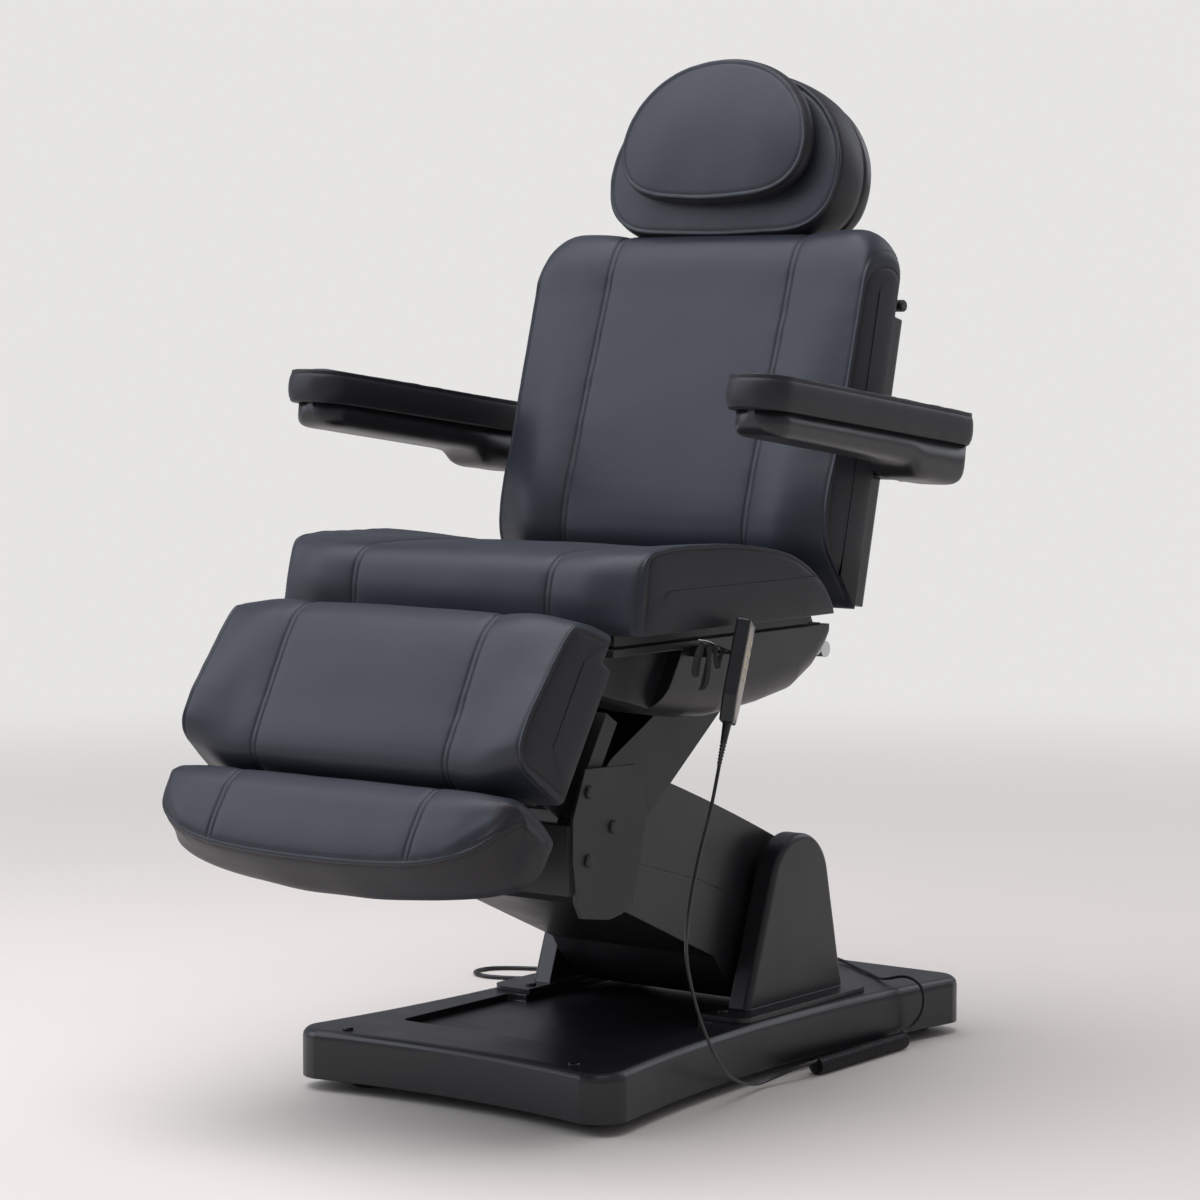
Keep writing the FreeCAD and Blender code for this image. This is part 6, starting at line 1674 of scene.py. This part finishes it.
@dataclass
class SmallFittings:
    """The handset's film and strain relief, and the clip beside it with its three strap loops.

    Routes are in millimetres in the row frame; the film is drawn on the handset's own face.
    """

    handset_middle: Triple = (348.0, -129.0, 610.0)
    lean: float = -18.5
    turn: float = 25.0
    cord_exit: Triple = (348.0, -155.9, 529.4)
    cord_ahead: Triple = (0.0, -9.0, -25.6)
    film_outline: Sequence[Pair] = ((-19, -20), (-19, 60), (-16, 74), (0, 79), (16, 74), (19, 60),
                                    (19, -20), (11, -50), (0, -53), (-11, -50))
    film_steps: Sequence[Triple] = ((9.6, 0, 1), (9.6, 0, 0), (10.25, 0, 0), (10.5, 0.5, 0),
                                    (10.5, 2, 0.5), (10.5, 2, 1))
    rib_count: int = 7
    rib_pitch: float = 4.6
    rib_radius: float = 4.7
    rib_taper: float = 0.22
    rib_depth: float = 0.9
    clip_size: Pair = (7.0, 1.6)
    loop_size: Pair = (6.5, 1.3)
    clip_route: Sequence[Triple] = ((333, -196, 671), (336, -180, 668), (337, -150, 657),
                                    (336, -128, 651))
    loop_routes: Sequence[Sequence[Triple]] = (
        ((335, -190, 667), (337, -205, 650), (338, -213, 628), (336, -204, 622), (334, -196, 640),
         (334, -186, 664)),
        ((336, -176, 664), (340, -180, 640), (341, -190, 608), (338, -196, 603), (335, -186, 612),
         (334, -174, 640), (335, -168, 662)),
        ((336, -160, 659), (340, -164, 642), (339, -158, 630), (336, -150, 640), (335, -140, 654)))

    def on_handset(self, points: np.ndarray) -> np.ndarray:
        """Places points of the handset.

        Args:
            points: millimetres in the handset's frame.

        Returns:
            Metres in the row frame.
        """
        turn, lean = math.radians(self.turn), math.radians(self.lean)
        x = points[:, 0] * math.cos(turn) - points[:, 1] * math.sin(turn)
        y = points[:, 0] * math.sin(turn) + points[:, 1] * math.cos(turn)
        z = points[:, 2]
        placed = np.column_stack([x, y * math.cos(lean) - z * math.sin(lean),
                                  y * math.sin(lean) + z * math.cos(lean)])
        return (placed + np.array(self.handset_middle)) * MM

    def film(self) -> bpy.types.Object:
        """The pale film round the keys: a raised plate with rounded corners.

        Returns:
            The film.
        """
        outline = smooth_through(self.film_outline, 120, closed=True)
        spine = spine_of(outline)
        rings = []
        for height, inward, share in self.film_steps:
            flat = drawn_in(outline, spine, inward, share)
            rings.append(self.on_handset(np.column_stack([np.full(len(flat), height), flat])))
        return skin("keypad_film_plate", rings, (KEY_FILM,))

    def build(self) -> None:
        """Makes and mounts the pieces."""
        film = self.film()
        ribs = []
        for k in range(self.rib_count):
            along, radius = k * self.rib_pitch, self.rib_radius - self.rib_taper * k
            ribs += [(along, radius - self.rib_depth), (along + 0.8, radius), (along + 2.6, radius),
                     (along + 3.4, radius - self.rib_depth)]
        relief = lathe("handset_strain_relief", [(-2, 4.6), *ribs, (34, 2.9)],
                       tuple(np.array(self.cord_exit) * MM), self.cord_ahead, NYLON_TRIM)
        clip = ribbon("strap_clip", self.clip_route, (1, 0, 0.1), *self.clip_size, BRIGHT_STEEL)
        pieces = [film, relief, clip]
        for k, route in enumerate(self.loop_routes, start=1):
            loop = ribbon(f"strap_loop_{k}", route, (0.5, 0.85, 0), *self.loop_size, WEBBING)
            pieces.append(loop)
        for piece in pieces:
            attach(piece, "carriage")


# ---------------------------------------------------------------- frame finishes, studio

def dress_frame() -> None:
    """Gives each CAD node that still shows its finish, on the object's own material slots."""
    for slot_name, (finish, names) in NODE_FINISHES.items():
        for name in names:
            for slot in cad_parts[name].material_slots:
                slot.link = "OBJECT"
                slot.material = finish.material()
        log.info("%s: %d nodes", slot_name, len(names))


@dataclass
class Studio:
    """A pale floor that fades into pale walls, soft light from the left, the photograph's camera.

    A lamp is its name, its place, what it faces, its side in metres, its watts and its colour.
    """

    floor_size: float = 120.0
    fade_start: float = 1.4
    fade_end: float = 5.5
    wall_colour: str = "#E6E5E4"
    ambient_colour: str = "#E6E8F0"
    ambient: float = 0.36
    camera_place: Triple = (3.05, -4.043, 1.09)
    azimuth: float = 36.85
    pitch: float = 4.43
    lens: float = 104.52
    sensor_width: float = 36.0
    lamps: Sequence[tuple[str, Triple, Triple, float, float, str]] = (
        ("window_left", (-3.6, -2.6, 3.0), (0, 0, 0.7), 3.6, 100, "#EAF0FF"),
        ("ceiling", (-0.4, -0.8, 4.2), (0, -0.1, 0), 4.0, 170, "#F8F8FF"),
        ("rear_edge", (1.2, 3.6, 2.6), (0, 0, 0.8), 2.2, 25, "#F4F7FF"))

    def lamp(self, name: str, place: Triple, aim: Triple, size: float, power: float,
             colour: str) -> None:
        """Adds one soft box.

        Args:
            name: its name.
            place: where it hangs, in metres.
            aim: what it faces.
            size: its side in metres.
            power: in watts.
            colour: of its light.
        """
        data = bpy.data.lights.new(name, "AREA")
        data.shape = "SQUARE"
        data.size = size
        data.energy = power
        data.color = linear(colour)[:3]
        lamp = linked(name, data)
        lamp.location = place
        lamp.rotation_euler = (Vector(aim) - Vector(place)).to_track_quat("-Z", "Y").to_euler()

    def floor(self) -> None:
        """Lays the floor, whose paint fades into the walls far away so that no horizon is sharp."""
        half = self.floor_size / 2
        mesh = bpy.data.meshes.new("studio_floor")
        corners = ((-half, -half, 0), (half, -half, 0), (half, half, 0), (-half, half, 0))
        mesh.from_pydata(corners, [], [(0, 1, 2, 3)])
        paint = STUDIO_FLOOR.material()
        tree = paint.node_tree
        out = next(node for node in tree.nodes if node.type == "OUTPUT_MATERIAL")
        shader = out.inputs["Surface"].links[0].from_socket
        place = add_node(tree, "ShaderNodeTexCoord").outputs["Object"]
        away = add_node(tree, "ShaderNodeVectorMath", {"operation": "LENGTH"}, {0: place})
        share = add_node(tree, "ShaderNodeMapRange", {"interpolation_type": "SMOOTHSTEP"}, {
            "Value": away.outputs["Value"], "From Min": self.fade_start, "From Max": self.fade_end})
        wall = add_node(tree, "ShaderNodeEmission", {}, {
            "Color": linear(self.wall_colour), "Strength": 1.0})
        mixed = add_node(tree, "ShaderNodeMixShader", {}, {
            0: share.outputs["Result"], 1: shader, 2: wall.outputs[0]})
        tree.links.new(mixed.outputs[0], out.inputs["Surface"])
        mesh.materials.append(paint)
        linked("studio_floor", mesh)

    def walls(self) -> None:
        """The world: the camera sees pale walls, and what they send back on the chair is dimmer."""
        world = bpy.data.worlds.new("studio_walls")
        world.use_nodes = True
        tree = world.node_tree
        tree.nodes.clear()
        seen = add_node(tree, "ShaderNodeBackground", {}, {
            "Color": linear(self.wall_colour), "Strength": 1.0})
        lit = add_node(tree, "ShaderNodeBackground", {}, {
            "Color": linear(self.ambient_colour), "Strength": self.ambient})
        ray = add_node(tree, "ShaderNodeLightPath").outputs["Is Camera Ray"]
        mixed = add_node(tree, "ShaderNodeMixShader", {}, {
            0: ray, 1: lit.outputs[0], 2: seen.outputs[0]})
        add_node(tree, "ShaderNodeOutputWorld", {}, {"Surface": mixed.outputs[0]})
        bpy.context.scene.world = world

    def build(self) -> None:
        """Lays the floor, hangs the lights and sets the camera."""
        self.floor()
        self.walls()
        for lamp in self.lamps:
            self.lamp(*lamp)
        bpy.context.scene.view_settings.view_transform = "Standard"
        data = bpy.data.cameras.new("photo_camera")
        data.lens = self.lens
        data.sensor_width = self.sensor_width
        camera = linked("photo_camera", data)
        around, down = math.radians(self.azimuth), math.radians(self.pitch)
        ahead = Vector((-math.sin(around) * math.cos(down), math.cos(around) * math.cos(down),
                        -math.sin(down)))
        camera.location = self.camera_place
        camera.rotation_euler = ahead.to_track_quat("-Z", "Y").to_euler()
        bpy.context.scene.camera = camera
        log.info("studio: %d lamps, camera at %s", len(self.lamps), self.camera_place)


def main() -> None:
    """Builds every sub-assembly in order."""
    logging.basicConfig(level=logging.INFO, format="%(message)s")
    dress_frame()
    Cords().build()
    for cushion in (seat_cushion(), leg_cushion(), back_cushion()):
        cushion.build()
    FootPad().build()
    Headrest().build()
    Armrests().build()
    SmallFittings().build()
    Studio().build()


if __name__ == "__main__":
    main()
